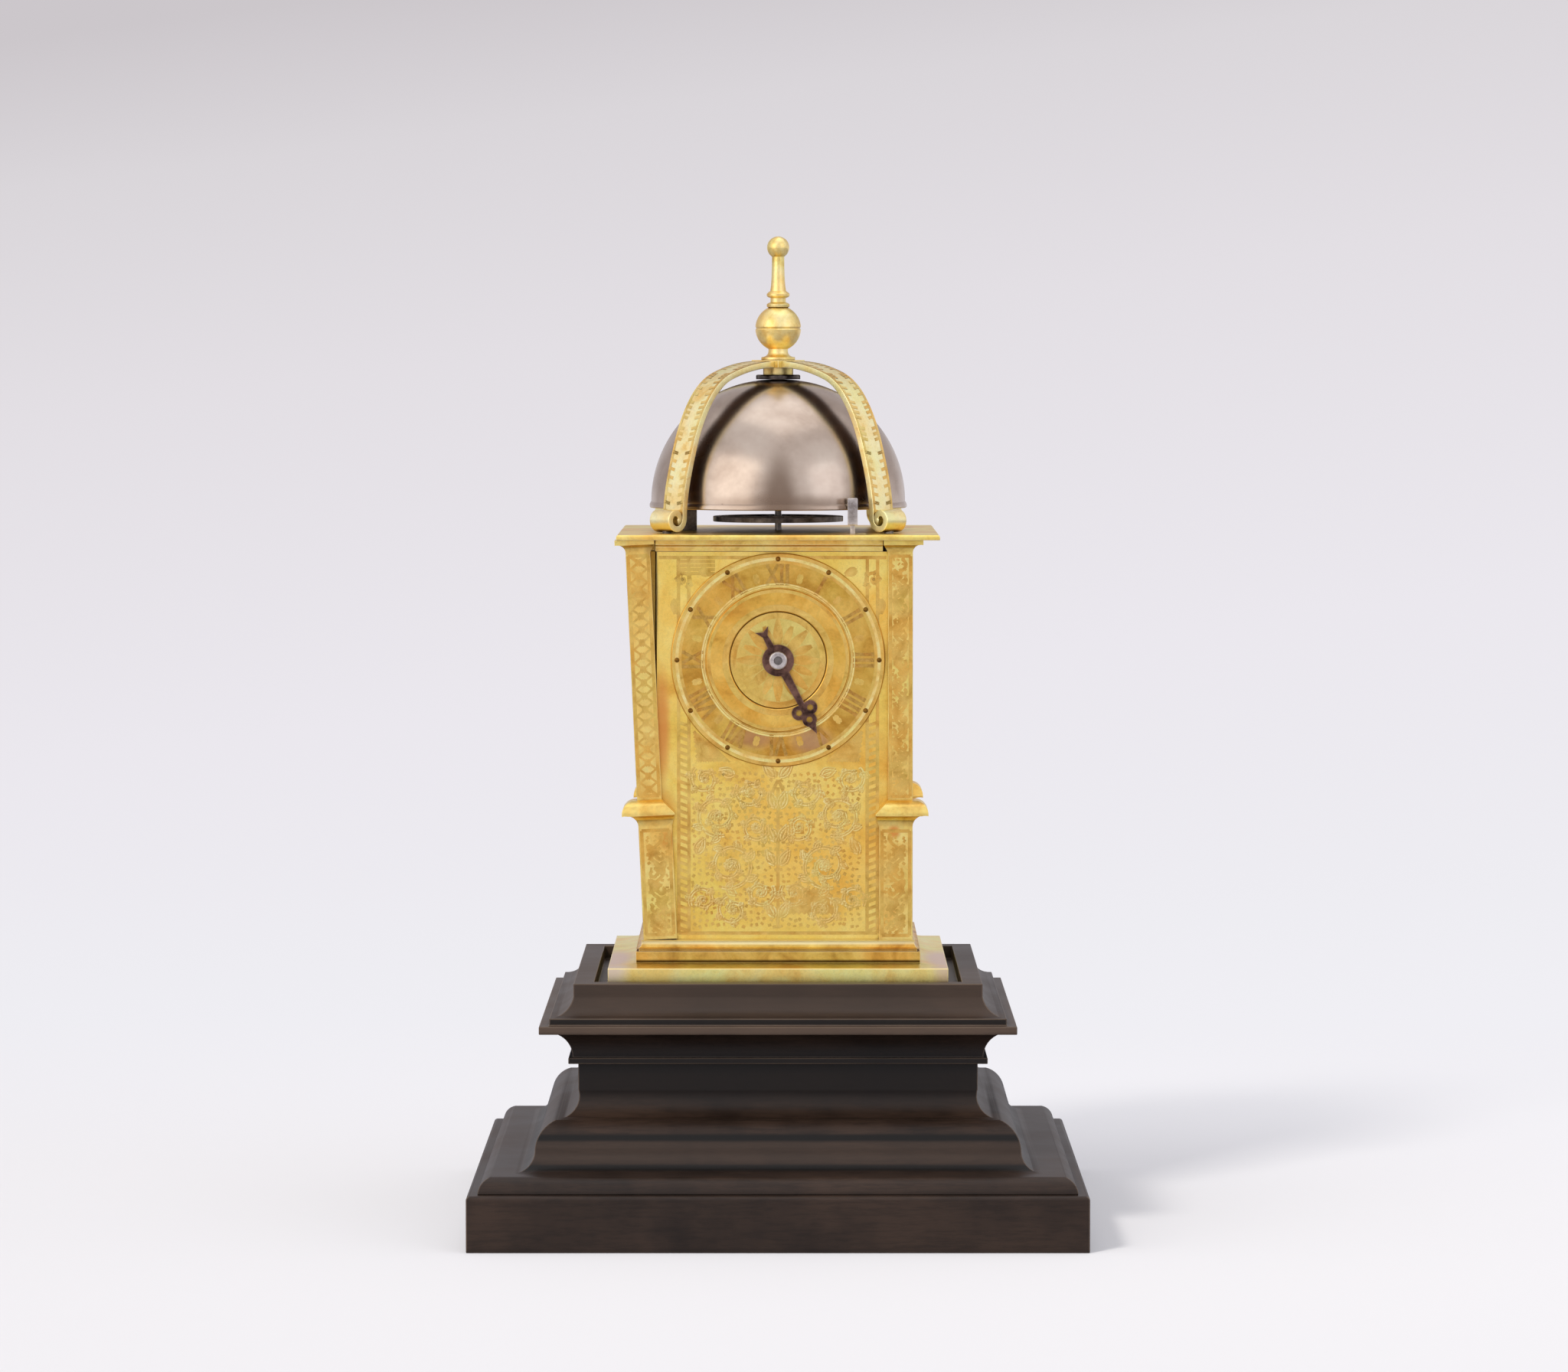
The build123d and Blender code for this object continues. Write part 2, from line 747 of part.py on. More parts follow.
collet_front = hand_front - collet_height
with BuildPart() as hand_collet:
    rod(collet_radius, hour_place, collet_front, hand_front)
    fillet(hand_collet.faces().sort_by(Axis.Y)[0].edges(), 0.5 * collet_height)
    rod(arbor_radius + slide_clearance, hour_place, collet_front, hand_front, Mode.SUBTRACT)
finish(hand_collet.part, "hand_collet")

with BuildPart() as hour_arbor:
    rod(arbor_radius, hour_place, collet_front - hand_arbor_show, front_bar_front - shoulder_gap)
    rod(pivot_radius, hour_place, front_bar_front - shoulder_gap, front_bar_back)
finish(hour_arbor.part, "hour_arbor")

# Toothed wheels and pinions

wheel_tooth = {"addendum": 0.72, "dedendum": 0.9, "root_share": 0.27, "tip_share": 0.13}
leaf_tooth = {"addendum": 0.55, "dedendum": 0.95, "root_share": 0.24, "tip_share": 0.12}


def mesh_phase(driver_phase, driver_teeth, driver_place, teeth, place):
    """Turn of a wheel whose gap meets the driver's tooth on the line between the two centres."""
    across = place[0] - driver_place[0]
    up = place[1] - driver_place[1]
    heading = atan2(up, across)
    driver_pitch = 2 * pi / driver_teeth
    share = (heading - driver_phase) / driver_pitch
    share = share - floor(share)
    return heading + pi - (0.5 - share) * 2 * pi / teeth


def toothed_disc(teeth, phase, place, front, back, tooth):
    pitch_radius = gear_module * teeth / 2
    root = pitch_radius - tooth["dedendum"]
    tip = pitch_radius + tooth["addendum"]
    flanks = ((root, -tooth["root_share"]), (tip, -tooth["tip_share"]),
              (tip, tooth["tip_share"]), (root, tooth["root_share"]))
    pitch = 2 * pi / teeth
    corners = []
    for count in range(teeth):
        for radius, share in flanks:
            angle = phase + (count + share) * pitch
            corners.append((radius * cos(angle), radius * sin(angle)))
    with BuildSketch(facing_front(back, place)) as disc:
        with BuildLine():
            Polyline(*corners, close=True)
        make_face()
    extrude(disc.sketch, amount=back - front)


def open_spokes(teeth, place, front, back):
    """Cut four windows, which leave a rim, a hub and four crossings."""
    window_outer = gear_module * teeth / 2 - rim_width
    with BuildSketch(facing_front(back, place)) as windows:
        Circle(window_outer)
        Circle(wheel_hub_radius, mode=Mode.SUBTRACT)
        Rectangle(2 * window_outer, spoke_width, mode=Mode.SUBTRACT)
        Rectangle(spoke_width, 2 * window_outer, mode=Mode.SUBTRACT)
    extrude(windows.sketch, amount=back - front, mode=Mode.SUBTRACT)


def ratchet(place, front, back):
    """Saw-toothed wheel: each tooth has a straight front and a long sloping back."""
    corners = []
    for count in range(ratchet_teeth):
        angle = pi / 2 + 2 * pi * count / ratchet_teeth
        corners.append((ratchet_radius * cos(angle), ratchet_radius * sin(angle)))
        corners.append((ratchet_root * cos(angle), ratchet_root * sin(angle)))
    with BuildSketch(facing_front(back, place)) as disc:
        with BuildLine():
            Polyline(*corners, close=True)
        make_face()
    extrude(disc.sketch, amount=back - front)


report_phase = 0.0
great_phase = 0.0
hour_phase = mesh_phase(report_phase, pinion_leaves, great_place, hour_teeth, hour_place)
second_pinion_phase = mesh_phase(great_phase, great_teeth, great_place, pinion_leaves, second_place)
second_phase = 0.0
crown_pinion_phase = mesh_phase(second_phase, second_teeth, second_place, pinion_leaves, crown_place)
pin_pinion_phase = mesh_phase(great_phase, great_teeth, strike_place, pinion_leaves, pin_place)
fly_phase = mesh_phase(second_phase, pin_wheel_teeth, pin_place, pinion_leaves, fly_place)

with BuildPart() as hour_wheel:
    toothed_disc(hour_teeth, hour_phase, hour_place, hour_wheel_front, hour_wheel_back, wheel_tooth)
    open_spokes(hour_teeth, hour_place, hour_wheel_front, hour_wheel_back)
    rod(arbor_radius + slide_clearance, hour_place, hour_wheel_front, hour_wheel_back, Mode.SUBTRACT)
finish(hour_wheel.part, "hour_wheel")

# Going barrel on its winding arbor; its front pipe carries the report pinion

pipe_bore = winding_arbor_radius + running_clearance
pipe_radius = gear_module * pinion_leaves / 2 - leaf_tooth["dedendum"]
with BuildPart() as going_barrel:
    rod(barrel_radius, great_place, barrel_front, great_wheel_front)
    fillet(going_barrel.edges().filter_by(GeomType.CIRCLE), barrel_edge_round)
    rod(pipe_radius, great_place, report_front, barrel_front)
    toothed_disc(pinion_leaves, report_phase, great_place, report_front, hour_wheel_back + leaf_overhang,
                 leaf_tooth)
    rod(pipe_bore, great_place, -case_half, case_half, Mode.SUBTRACT)
finish(going_barrel.part, "going_barrel")

with BuildPart() as great_wheel:
    toothed_disc(great_teeth, great_phase, great_place, great_wheel_front, great_wheel_back, wheel_tooth)
    open_spokes(great_teeth, great_place, great_wheel_front, great_wheel_back)
    rod(pipe_bore, great_place, great_wheel_front, great_wheel_back, Mode.SUBTRACT)
finish(great_wheel.part, "great_wheel")

with BuildPart() as going_arbor:
    rod(winding_arbor_radius, great_place, report_front, plate_face)
    ratchet(great_place, middle_bar_front - shoulder_gap - ratchet_thickness, middle_bar_front - shoulder_gap)
    block(-winding_square / 2, winding_square / 2, plate_face, arbor_end,
          great_place[1] - winding_square / 2, great_place[1] + winding_square / 2)
finish(going_arbor.part, "going_arbor")

with BuildPart() as second_arbor:
    rod(arbor_radius, second_place, front_bar_back + shoulder_gap, middle_bar_front - shoulder_gap)
    rod(pivot_radius, second_place, front_bar_front, middle_bar_back)
    toothed_disc(pinion_leaves, second_pinion_phase, second_place, great_wheel_front - leaf_overhang,
                 great_wheel_back + leaf_overhang, leaf_tooth)
finish(second_arbor.part, "second_arbor")

with BuildPart() as second_wheel:
    toothed_disc(second_teeth, second_phase, second_place, second_wheel_front, second_wheel_back,
                 wheel_tooth)
    open_spokes(second_teeth, second_place, second_wheel_front, second_wheel_back)
    rod(arbor_radius + slide_clearance, second_place, second_wheel_front, second_wheel_back, Mode.SUBTRACT)
finish(second_wheel.part, "second_wheel")

# Crown wheel: a cup whose rim is cut into saw teeth that face the verge

with BuildPart() as crown_arbor:
    rod(arbor_radius, crown_place, front_bar_back + shoulder_gap, potence_front - shoulder_gap)
    rod(fine_pivot_radius, crown_place, front_bar_front, potence_front + crown_pivot_length)
    toothed_disc(pinion_leaves, crown_pinion_phase, crown_place, second_wheel_front - leaf_overhang,
                 second_wheel_back + leaf_overhang, leaf_tooth)
finish(crown_arbor.part, "crown_arbor")

crown_pitch = 2 * pi * crown_radius / crown_teeth
gap_start = crown_tooth_tip / 2
gap_foot_start = gap_start + crown_tooth_lean
with BuildPart() as crown_wheel:
    rod(crown_radius, crown_place, crown_web_front, crown_tips)
    rod(crown_radius - crown_rim, crown_place, crown_web_back, crown_tips, Mode.SUBTRACT)
    open_spokes(2 * crown_radius / gear_module, crown_place, crown_web_front, crown_web_back)
    rod(arbor_radius + slide_clearance, crown_place, crown_web_front, crown_web_back, Mode.SUBTRACT)
    for count in range(crown_teeth):
        turn = radians(360 * count / crown_teeth + crown_phase)
        outward = Vector(cos(turn), 0, sin(turn))
        inner_point = Vector(0, crown_tips, crown_place[1]) + outward * (crown_radius - 2 * crown_rim)
        with BuildSketch(Plane(inner_point, x_dir=(-sin(turn), 0, cos(turn)), z_dir=outward)):
            with BuildLine():
                Polyline((gap_start, -1), (gap_start, 0), (gap_foot_start, crown_tooth_height),
                         (gap_foot_start + crown_gap_foot, crown_tooth_height),
                         (crown_pitch - gap_start, 0), (crown_pitch - gap_start, -1), close=True)
            make_face()
        extrude(amount=3 * crown_rim, mode=Mode.SUBTRACT)
finish(crown_wheel.part, "crown_wheel")

# Verge with its two pallets, and the balance wheel above the top plate

verge_foot = crown_place[1] - crown_radius - verge_foot_gap
balance_seat = top_face + balance_rise
cock_seat = balance_seat + balance_thickness + cock_gap
pallet_offset = crown_radius - crown_rim / 2
with BuildPart() as verge:
    post(verge_radius, 0, 0, verge_foot + shoulder_gap, cock_seat - shoulder_gap)
    post(fine_pivot_radius, 0, 0, verge_foot - verge_foot_pivot, cock_seat + cock_thickness)
    for way in (-1, 1):
        heading = -90 + way * pallet_spread / 2
        middle = pallet_reach / 2
        spot = (middle * cos(radians(heading)), middle * sin(radians(heading)),
                crown_place[1] - way * pallet_offset)
        with Locations(Location(spot, (0, 0, heading))):
            Box(pallet_reach, pallet_thickness, pallet_height)
finish(verge.part, "verge")

balance_spoke = balance_radius - balance_rim / 2
with BuildPart() as balance_wheel:
    with BuildSketch(Plane.XY.offset(balance_seat)):
        Circle(balance_radius)
        Circle(balance_radius - balance_rim, mode=Mode.SUBTRACT)
        with PolarLocations(balance_spoke / 2, 3, start_angle=90):
            Rectangle(balance_spoke, spoke_width)
        Circle(3 * verge_radius)
        Circle(verge_radius + slide_clearance, mode=Mode.SUBTRACT)
    extrude(amount=balance_thickness)
finish(balance_wheel.part, "balance_wheel")

cock_side = cock_foot_width / 2
cock_neck = cock_neck_width / 2
with BuildPart() as balance_cock:
    block(-cock_reach - cock_foot_length / 2, -cock_reach + cock_foot_length / 2, -cock_side, cock_side,
          top_face, cock_seat + cock_thickness)
    with BuildSketch(Plane.XY.offset(cock_seat)):
        with BuildLine():
            Polyline((-cock_reach, cock_side), (0, cock_neck), (0, -cock_neck), (-cock_reach, -cock_side),
                     close=True)
        make_face()
        Circle(cock_eye_radius)
    extrude(amount=cock_thickness)
    post(fine_pivot_radius + running_clearance, 0, 0, top_face, 2 * top_face, Mode.SUBTRACT)
finish(balance_cock.part, "balance_cock")

# Movement frame: four iron posts and three bars with lugs for the arbors


def frame_bar(back, lugs, holes):
    front = back - bar_thickness
    with BuildPart() as bar:
        with BuildSketch(facing_front(back)):
            with Locations((0, (floor_top + capital_top) / 2)):
                Rectangle(bar_width, capital_top - floor_top)
            for x, z in lugs:
                with Locations((x / 2, z)):
                    SlotCenterToCenter(x, lug_width)
        extrude(amount=bar_thickness)
        for place, radius in holes:
            rod(radius + running_clearance, place, front, back, Mode.SUBTRACT)
    return bar


with BuildPart() as frame_posts:
    for x in (-post_reach, post_reach):
        for y in (-post_reach, post_reach):
            block(x - post_width / 2, x + post_width / 2, y - post_width / 2, y + post_width / 2,
                  floor_top, capital_top)
    chamfer(frame_posts.edges().filter_by(Axis.Z), post_chamfer)
finish(frame_posts.part, "frame_posts")

front_bar = frame_bar(front_bar_back, (second_place, hammer_place),
                      ((great_place, pipe_radius), (second_place, pivot_radius),
                       (crown_place, fine_pivot_radius), (hour_place, pivot_radius),
                       (hammer_place, pivot_radius)))
finish(front_bar.part, "front_bar")

back_bar = frame_bar(back_bar_back, (pin_place, fly_place, hammer_place),
                     ((great_place, winding_arbor_radius), (strike_place, winding_arbor_radius),
                      (pin_place, pivot_radius), (fly_place, fine_pivot_radius),
                      (hammer_place, pivot_radius)))
finish(back_bar.part, "back_bar")

plain_bar = frame_bar(middle_bar_back, (second_place, pin_place, fly_place),
                      ((great_place, winding_arbor_radius), (strike_place, winding_arbor_radius),
                       (second_place, pivot_radius), (pin_place, pivot_radius),
                       (fly_place, fine_pivot_radius)))
potence_low = crown_place[1] - potence_half
potence_high = crown_place[1] + potence_half
verge_foot_low = verge_foot - verge_foot_thickness
with BuildPart() as middle_bar:
    add(plain_bar.part)
    block(-potence_half, potence_half, potence_front, middle_bar_front, potence_low, potence_high)
    block(-potence_half, potence_half, -verge_foot_reach, middle_bar_front, verge_foot_low, verge_foot)
    post(verge_radius + verge_way_gap, 0, 0, potence_low, potence_high, Mode.SUBTRACT)
    post(fine_pivot_radius + running_clearance, 0, 0, verge_foot_low, verge_foot, Mode.SUBTRACT)
    rod(fine_pivot_radius + running_clearance, crown_place, potence_front,
        potence_front + crown_pivot_length + pivot_end_gap, Mode.SUBTRACT)
finish(middle_bar.part, "middle_bar")

# Strike train in the rear half

with BuildPart() as strike_barrel:
    rod(barrel_radius, strike_place, strike_wheel_front + wheel_thickness, strike_barrel_back)
    fillet(strike_barrel.edges().filter_by(GeomType.CIRCLE), barrel_edge_round)
    rod(pipe_bore, strike_place, 0, case_half, Mode.SUBTRACT)
finish(strike_barrel.part, "strike_barrel")

with BuildPart() as strike_wheel:
    toothed_disc(great_teeth, great_phase, strike_place, strike_wheel_front, strike_wheel_back, wheel_tooth)
    open_spokes(great_teeth, strike_place, strike_wheel_front, strike_wheel_back)
    rod(pipe_bore, strike_place, strike_wheel_front, strike_wheel_back, Mode.SUBTRACT)
finish(strike_wheel.part, "strike_wheel")

with BuildPart() as strike_arbor:
    rod(winding_arbor_radius, strike_place, middle_bar_front, plate_face)
    ratchet(strike_place, back_bar_back + shoulder_gap, back_bar_back + shoulder_gap + ratchet_thickness)
    block(-winding_square / 2, winding_square / 2, plate_face, arbor_end,
          strike_place[1] - winding_square / 2, strike_place[1] + winding_square / 2)
finish(strike_arbor.part, "strike_arbor")

with BuildPart() as pin_arbor:
    rod(arbor_radius, pin_place, middle_bar_back + shoulder_gap, back_bar_front - shoulder_gap)
    rod(pivot_radius, pin_place, middle_bar_front, back_bar_back)
    toothed_disc(pinion_leaves, pin_pinion_phase, pin_place, strike_wheel_front - leaf_overhang,
                 strike_wheel_back + leaf_overhang, leaf_tooth)
finish(pin_arbor.part, "pin_arbor")

pin_reach = pin_wheel_front - tail_back + pin_overreach
with BuildPart() as pin_wheel:
    toothed_disc(pin_wheel_teeth, second_phase, pin_place, pin_wheel_front, pin_wheel_back, wheel_tooth)
    open_spokes(pin_wheel_teeth, pin_place, pin_wheel_front, pin_wheel_back)
    rod(pin_circle + pin_band_width / 2, pin_place, pin_wheel_front, pin_wheel_back)
    rod(pin_circle - pin_band_width / 2, pin_place, pin_wheel_front, pin_wheel_back, Mode.SUBTRACT)
    rod(wheel_hub_radius, pin_place, pin_wheel_front, pin_wheel_back)
    for turn in (0, 90):
        with Locations(Location((pin_place[0], (pin_wheel_front + pin_wheel_back) / 2, pin_place[1]),
                                (0, turn, 0))):
            Box(2 * pin_circle, wheel_thickness, spoke_width)
    rod(arbor_radius + slide_clearance, pin_place, pin_wheel_front, pin_wheel_back, Mode.SUBTRACT)
    for count in range(pin_count):
        place = step_from(pin_place, 360 * (count + 0.5) / pin_count, pin_circle)
        rod(pin_radius, place, pin_wheel_front - pin_reach, pin_wheel_front)
finish(pin_wheel.part, "pin_wheel")

with BuildPart() as fly:
    rod(fly_arbor_radius, fly_place, middle_bar_back + shoulder_gap, back_bar_front - shoulder_gap)
    rod(fine_pivot_radius, fly_place, middle_bar_front, back_bar_back)
    block(fly_place[0] - fly_reach, fly_place[0] + fly_reach, fly_front, fly_back,
          fly_place[1] - fly_blade_thickness / 2, fly_place[1] + fly_blade_thickness / 2)
    toothed_disc(pinion_leaves, fly_phase, fly_place, pin_wheel_front - leaf_overhang,
                 pin_wheel_back + leaf_overhang, leaf_tooth)
finish(fly.part, "fly")

# Clicks that hold the two ratchets, one on the middle bar and one on the back bar

with BuildPart() as ratchet_clicks:
    for place, front in ((great_place, middle_bar_front - ratchet_thickness),
                         (strike_place, back_bar_back)):
        tooth_foot = (place[0], place[1] + ratchet_root)
        with BuildSketch(facing_front(front + ratchet_thickness, tooth_foot)):
            with BuildLine():
                Polyline(*click_outline, close=True)
            make_face()
            with Locations(click_eye):
                Circle(click_eye_radius)
        extrude(amount=ratchet_thickness)
finish(ratchet_clicks.part, "ratchet_clicks")

# Hammer: arbor, tail down to the pins, shank up through the top plate, head outside the bell

shank_front = shank_middle - shank_width / 2
shank_back = shank_middle + shank_width / 2
head_low = bell_rim - head_drop
head_high = bell_rim + head_rise
tail_knee = (hammer_x + tail_bend, pin_place[1] + tail_bend_rise)
tail_tip = step_from(pin_place, tail_heading, pin_circle + pin_radius + tail_pad_radius + tail_pin_gap)
with BuildPart() as hammer:
    rod(arbor_radius, hammer_place, front_bar_back + shoulder_gap, back_bar_front - shoulder_gap)
    rod(pivot_radius, hammer_place, shank_front, back_bar_back)
    rod(2 * arbor_radius, hammer_place, shank_front, shank_back)
    block(hammer_x - shank_width / 2, hammer_x + shank_width / 2, shank_front, shank_back,
          hammer_place[1], head_low)
    block(hammer_x - head_width / 2, hammer_x + head_width / 2, head_back - head_depth, head_back,
          head_low, head_high)
    fillet(hammer.faces().sort_by(Axis.Z)[-1].edges(), head_edge_round)
    with BuildSketch(facing_front(tail_back)):
        with BuildLine():
            Polyline(hammer_place, tail_knee, tail_tip)
        trace(line_width=tail_width)
        with Locations(hammer_place):
            Circle(2 * arbor_radius)
        with Locations(tail_tip):
            Circle(tail_pad_radius)
    extrude(amount=tail_thickness)
finish(hammer.part, "hammer")

# Side doors: the left door, hinge knuckles, pins and knob mirror the right

door_low = floor_top + door_gap
door_high = plate_top - door_gap
with BuildPart() as right_door:
    block(plate_back, plate_face, -door_half, door_half, door_low, door_high)
    for rise in hinge_rises:
        low = floor_top + rise
        post(knuckle_radius, hinge_x, hinge_y, low, low + knuckle_length)
        block(plate_face - hinge_root, hinge_x, hinge_y - knuckle_radius, door_half,
              low, low + knuckle_length)
        post(hinge_pin_radius + running_clearance, hinge_x, hinge_y, low, low + knuckle_length, Mode.SUBTRACT)
    with Locations((plate_face + knob_stalk / 2, knob_inset - door_half, floor_top + knob_rise)):
        Cylinder(knob_radius / 2, knob_stalk, rotation=(0, 90, 0))
    with Locations((plate_face + knob_stalk, knob_inset - door_half, floor_top + knob_rise)):
        Sphere(knob_radius)
finish(right_door.part, "right_door")
finish(right_door.part.mirror(Plane.YZ), "left_door")

with BuildPart() as hinge_pins:
    for rise in hinge_rises:
        low = floor_top + rise - knuckle_gap - jamb_knuckle_length
        high = floor_top + rise + knuckle_length + knuckle_gap + jamb_knuckle_length
        for x in (-hinge_x, hinge_x):
            post(hinge_pin_radius, x, hinge_y, low, high)
            post(hinge_pin_radius + hinge_pin_head, x, hinge_y, high, high + hinge_pin_radius)
finish(hinge_pins.part, "hinge_pins")

# Bell, hung under the straps by the finial's bolt


def dome_line(foot, crown):
    """A quarter of an ellipse, upright at the foot and level at the crown."""
    across = foot[0] - crown[0]
    up = crown[1] - foot[1]
    Spline(foot, (crown[0] + sqrt(0.5) * across, foot[1] + sqrt(0.5) * up), crown,
           tangents=((0, 1), (-1, 0)))


bell_lip_half = bell_radius + bell_lip
bell_shoulder = bell_rim + bell_lip_height + bell_lip_slope
bell_inner = bell_radius - bell_wall
with BuildPart() as bell:
    with BuildSketch(Plane.XZ):
        with BuildLine():
            Polyline((bell_inner, bell_rim), (bell_lip_half, bell_rim),
                     (bell_lip_half, bell_rim + bell_lip_height), (bell_radius, bell_shoulder))
            dome_line((bell_radius, bell_shoulder), (bell_flat, bell_apex))
            Polyline((bell_flat, bell_apex), (0, bell_apex), (0, bell_apex - bell_wall))
            dome_line((bell_inner, bell_rim), (0, bell_apex - bell_wall))
        make_face()
    revolve(axis=Axis.Z)
    post(bell_bore, 0, 0, bell_rim, strap_crown, Mode.SUBTRACT)
finish(bell.part, "bell")

bolt_hole = stud_bolt_radius + slide_clearance
with BuildPart() as bell_washer:
    post(washer_radius, 0, 0, washer_seat, washer_face)
    fillet(bell_washer.faces().sort_by(Axis.Z)[-1].edges(), washer_edge_round)
    post(bolt_hole, 0, 0, washer_seat, washer_face, Mode.SUBTRACT)
finish(bell_washer.part, "bell_washer")

nut_corner = nut_width / sqrt(2)
nut_drop = (bell_height - bell_wall) * (1 - sqrt(1 - (nut_corner / bell_inner) ** 2))
nut_top = bell_apex - bell_wall - nut_drop - slide_clearance
with BuildPart() as bell_nut:
    block(-nut_width / 2, nut_width / 2, -nut_width / 2, nut_width / 2, nut_top - nut_thickness, nut_top)
    chamfer(bell_nut.edges().filter_by(Axis.Z), nut_chamfer)
    post(bolt_hole, 0, 0, nut_top - nut_thickness, nut_top, Mode.SUBTRACT)
finish(bell_nut.part, "bell_nut")

# Straps: drawn in the diagonal plane over the top plate, with a scroll at the foot

hub_half = hub_square / 2
strap_rise = strap_crown - top_face
strap_bends = [(out * strap_stand, up * strap_rise) for out, up in strap_bend]
for name, turn in (("back_right", 45), ("back_left", 135), ("front_left", 225), ("front_right", 315)):
    along = (cos(radians(turn)), sin(radians(turn)), 0)
    across = (sin(radians(turn)), -cos(radians(turn)), 0)
    with BuildPart() as strap:
        with BuildSketch(Plane((0, 0, top_face), x_dir=along, z_dir=across)):
            with BuildLine():
                Spline((strap_stand + scroll_offset + strap_thickness / 2, scroll_radius),
                       *strap_bends, (hub_half, strap_rise), tangents=((0, 1), (-1, 0)))
            trace(line_width=strap_thickness)
            with Locations((scroll_reach, scroll_radius - scroll_flat)):
                Circle(scroll_radius)
            with BuildLine():
                CenterArc((scroll_reach, scroll_radius - scroll_flat), scroll_groove_share * scroll_radius,
                          scroll_groove_start, scroll_groove_sweep)
            trace(line_width=scroll_groove_width, mode=Mode.SUBTRACT)
            with Locations((scroll_reach, -scroll_radius)):
                Rectangle(2 * scroll_radius, 2 * scroll_radius, mode=Mode.SUBTRACT)
        extrude(amount=strap_width / 2, both=True)
        post(screw_radius + slide_clearance, scroll_reach * along[0], scroll_reach * along[1],
             top_face, top_face + screw_rise, Mode.SUBTRACT)
    finish(strap.part, f"strap_{name}")

with BuildPart() as strap_screws:
    for x in (-scroll_corner, scroll_corner):
        for y in (-scroll_corner, scroll_corner):
            post(screw_radius, x, y, capital_top, top_face + screw_rise - screw_sink)
finish(strap_screws.part, "strap_screws")

with BuildPart() as strap_hub:
    post(hub_neck_radius, 0, 0, washer_face, hub_low)
    with Locations(Location((0, 0, (hub_low + hub_top) / 2), (0, 0, 45))):
        Box(hub_square, hub_square, hub_thickness)
    post(bolt_hole, 0, 0, washer_face, hub_top, Mode.SUBTRACT)
finish(strap_hub.part, "strap_hub")

# Finial, turned in one piece with the bolt that hangs the bell

spool_edge_top = hub_top + spool_edge
spool_cove_top = spool_edge_top + spool_cove
ball_foot = spool_cove_top + spool_neck_height
ball_middle = ball_foot + sqrt(ball_radius ** 2 - spool_neck ** 2)
ball_head = 2 * ball_middle - ball_foot
low_collar = ball_head + collar_chamfer
low_collar_top = low_collar + low_collar_height
collar_waist = low_collar_top + 2 * collar_chamfer
high_collar = collar_waist + collar_waist_height + collar_chamfer
high_collar_top = high_collar + high_collar_height
stem_foot = high_collar_top + 2 * collar_chamfer
stem_head = stem_foot + stem_height
tip_middle = stem_head + sqrt(tip_radius ** 2 - stem_top_radius ** 2)
finial_top = tip_middle + tip_radius
with BuildPart() as finial:
    with BuildSketch(Plane.XZ):
        with BuildLine():
            Polyline((0, hub_top), (spool_radius, hub_top), (spool_radius, spool_edge_top))
            cove((spool_radius, spool_edge_top), (spool_neck, spool_cove_top))
            Line((spool_neck, spool_cove_top), (spool_neck, ball_foot))
            ThreePointArc((spool_neck, ball_foot), (ball_radius, ball_middle), (spool_neck, ball_head))
            Polyline((spool_neck, ball_head), (collar_radius, low_collar), (collar_radius, low_collar_top),
                     (waist_radius, collar_waist), (waist_radius, collar_waist + collar_waist_height),
                     (collar_radius, high_collar), (collar_radius, high_collar_top),
                     (stem_foot_radius, stem_foot), (stem_top_radius, stem_head))
            ThreePointArc((stem_top_radius, stem_head), (tip_radius, tip_middle), (0, finial_top))
            Line((0, finial_top), (0, hub_top))
        make_face()
    revolve(axis=Axis.Z)
    with Locations((0, 0, ball_middle)):
        Torus(ball_radius, ball_groove, mode=Mode.SUBTRACT)
    post(stud_bolt_radius, 0, 0, nut_top - nut_thickness - bolt_show, hub_top)
finish(finial.part, "finial")

print(f"height {finial_top:.2f}, dial centre {dial_height:.2f}, top plate {top_face:.2f}")
print(f"bell rim {bell_rim:.2f}, hammer arbor {hammer_place}, crown {crown_place}, second {second_place}")
print(f"great {great_place}, strike {strike_place}, pin {pin_place}, fly {fly_place}")
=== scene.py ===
import bmesh
import bpy
import json
import random
from math import atan2, cos, pi, radians, sin, sqrt
from mathutils import Matrix, Vector


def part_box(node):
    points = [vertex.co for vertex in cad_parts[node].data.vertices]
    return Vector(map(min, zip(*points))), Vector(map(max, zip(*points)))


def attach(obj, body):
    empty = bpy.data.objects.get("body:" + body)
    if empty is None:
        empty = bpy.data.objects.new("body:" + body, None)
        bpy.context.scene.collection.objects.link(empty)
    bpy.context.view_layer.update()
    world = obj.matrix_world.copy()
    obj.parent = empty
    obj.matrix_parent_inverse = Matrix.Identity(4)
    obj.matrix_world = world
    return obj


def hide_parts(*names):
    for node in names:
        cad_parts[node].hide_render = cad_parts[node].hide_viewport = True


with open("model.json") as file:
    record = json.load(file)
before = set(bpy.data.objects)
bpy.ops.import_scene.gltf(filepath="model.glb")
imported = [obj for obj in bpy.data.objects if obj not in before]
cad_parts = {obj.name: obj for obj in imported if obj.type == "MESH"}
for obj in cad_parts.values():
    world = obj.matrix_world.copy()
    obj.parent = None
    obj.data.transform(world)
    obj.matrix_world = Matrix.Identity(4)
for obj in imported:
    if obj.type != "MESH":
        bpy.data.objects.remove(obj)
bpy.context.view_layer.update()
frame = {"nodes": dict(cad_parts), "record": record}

# Gilt turret clock on an ebonised base. Sizes below are in millimetres unless a note says otherwise.
mm = 0.001
cadNodes = frame["nodes"]
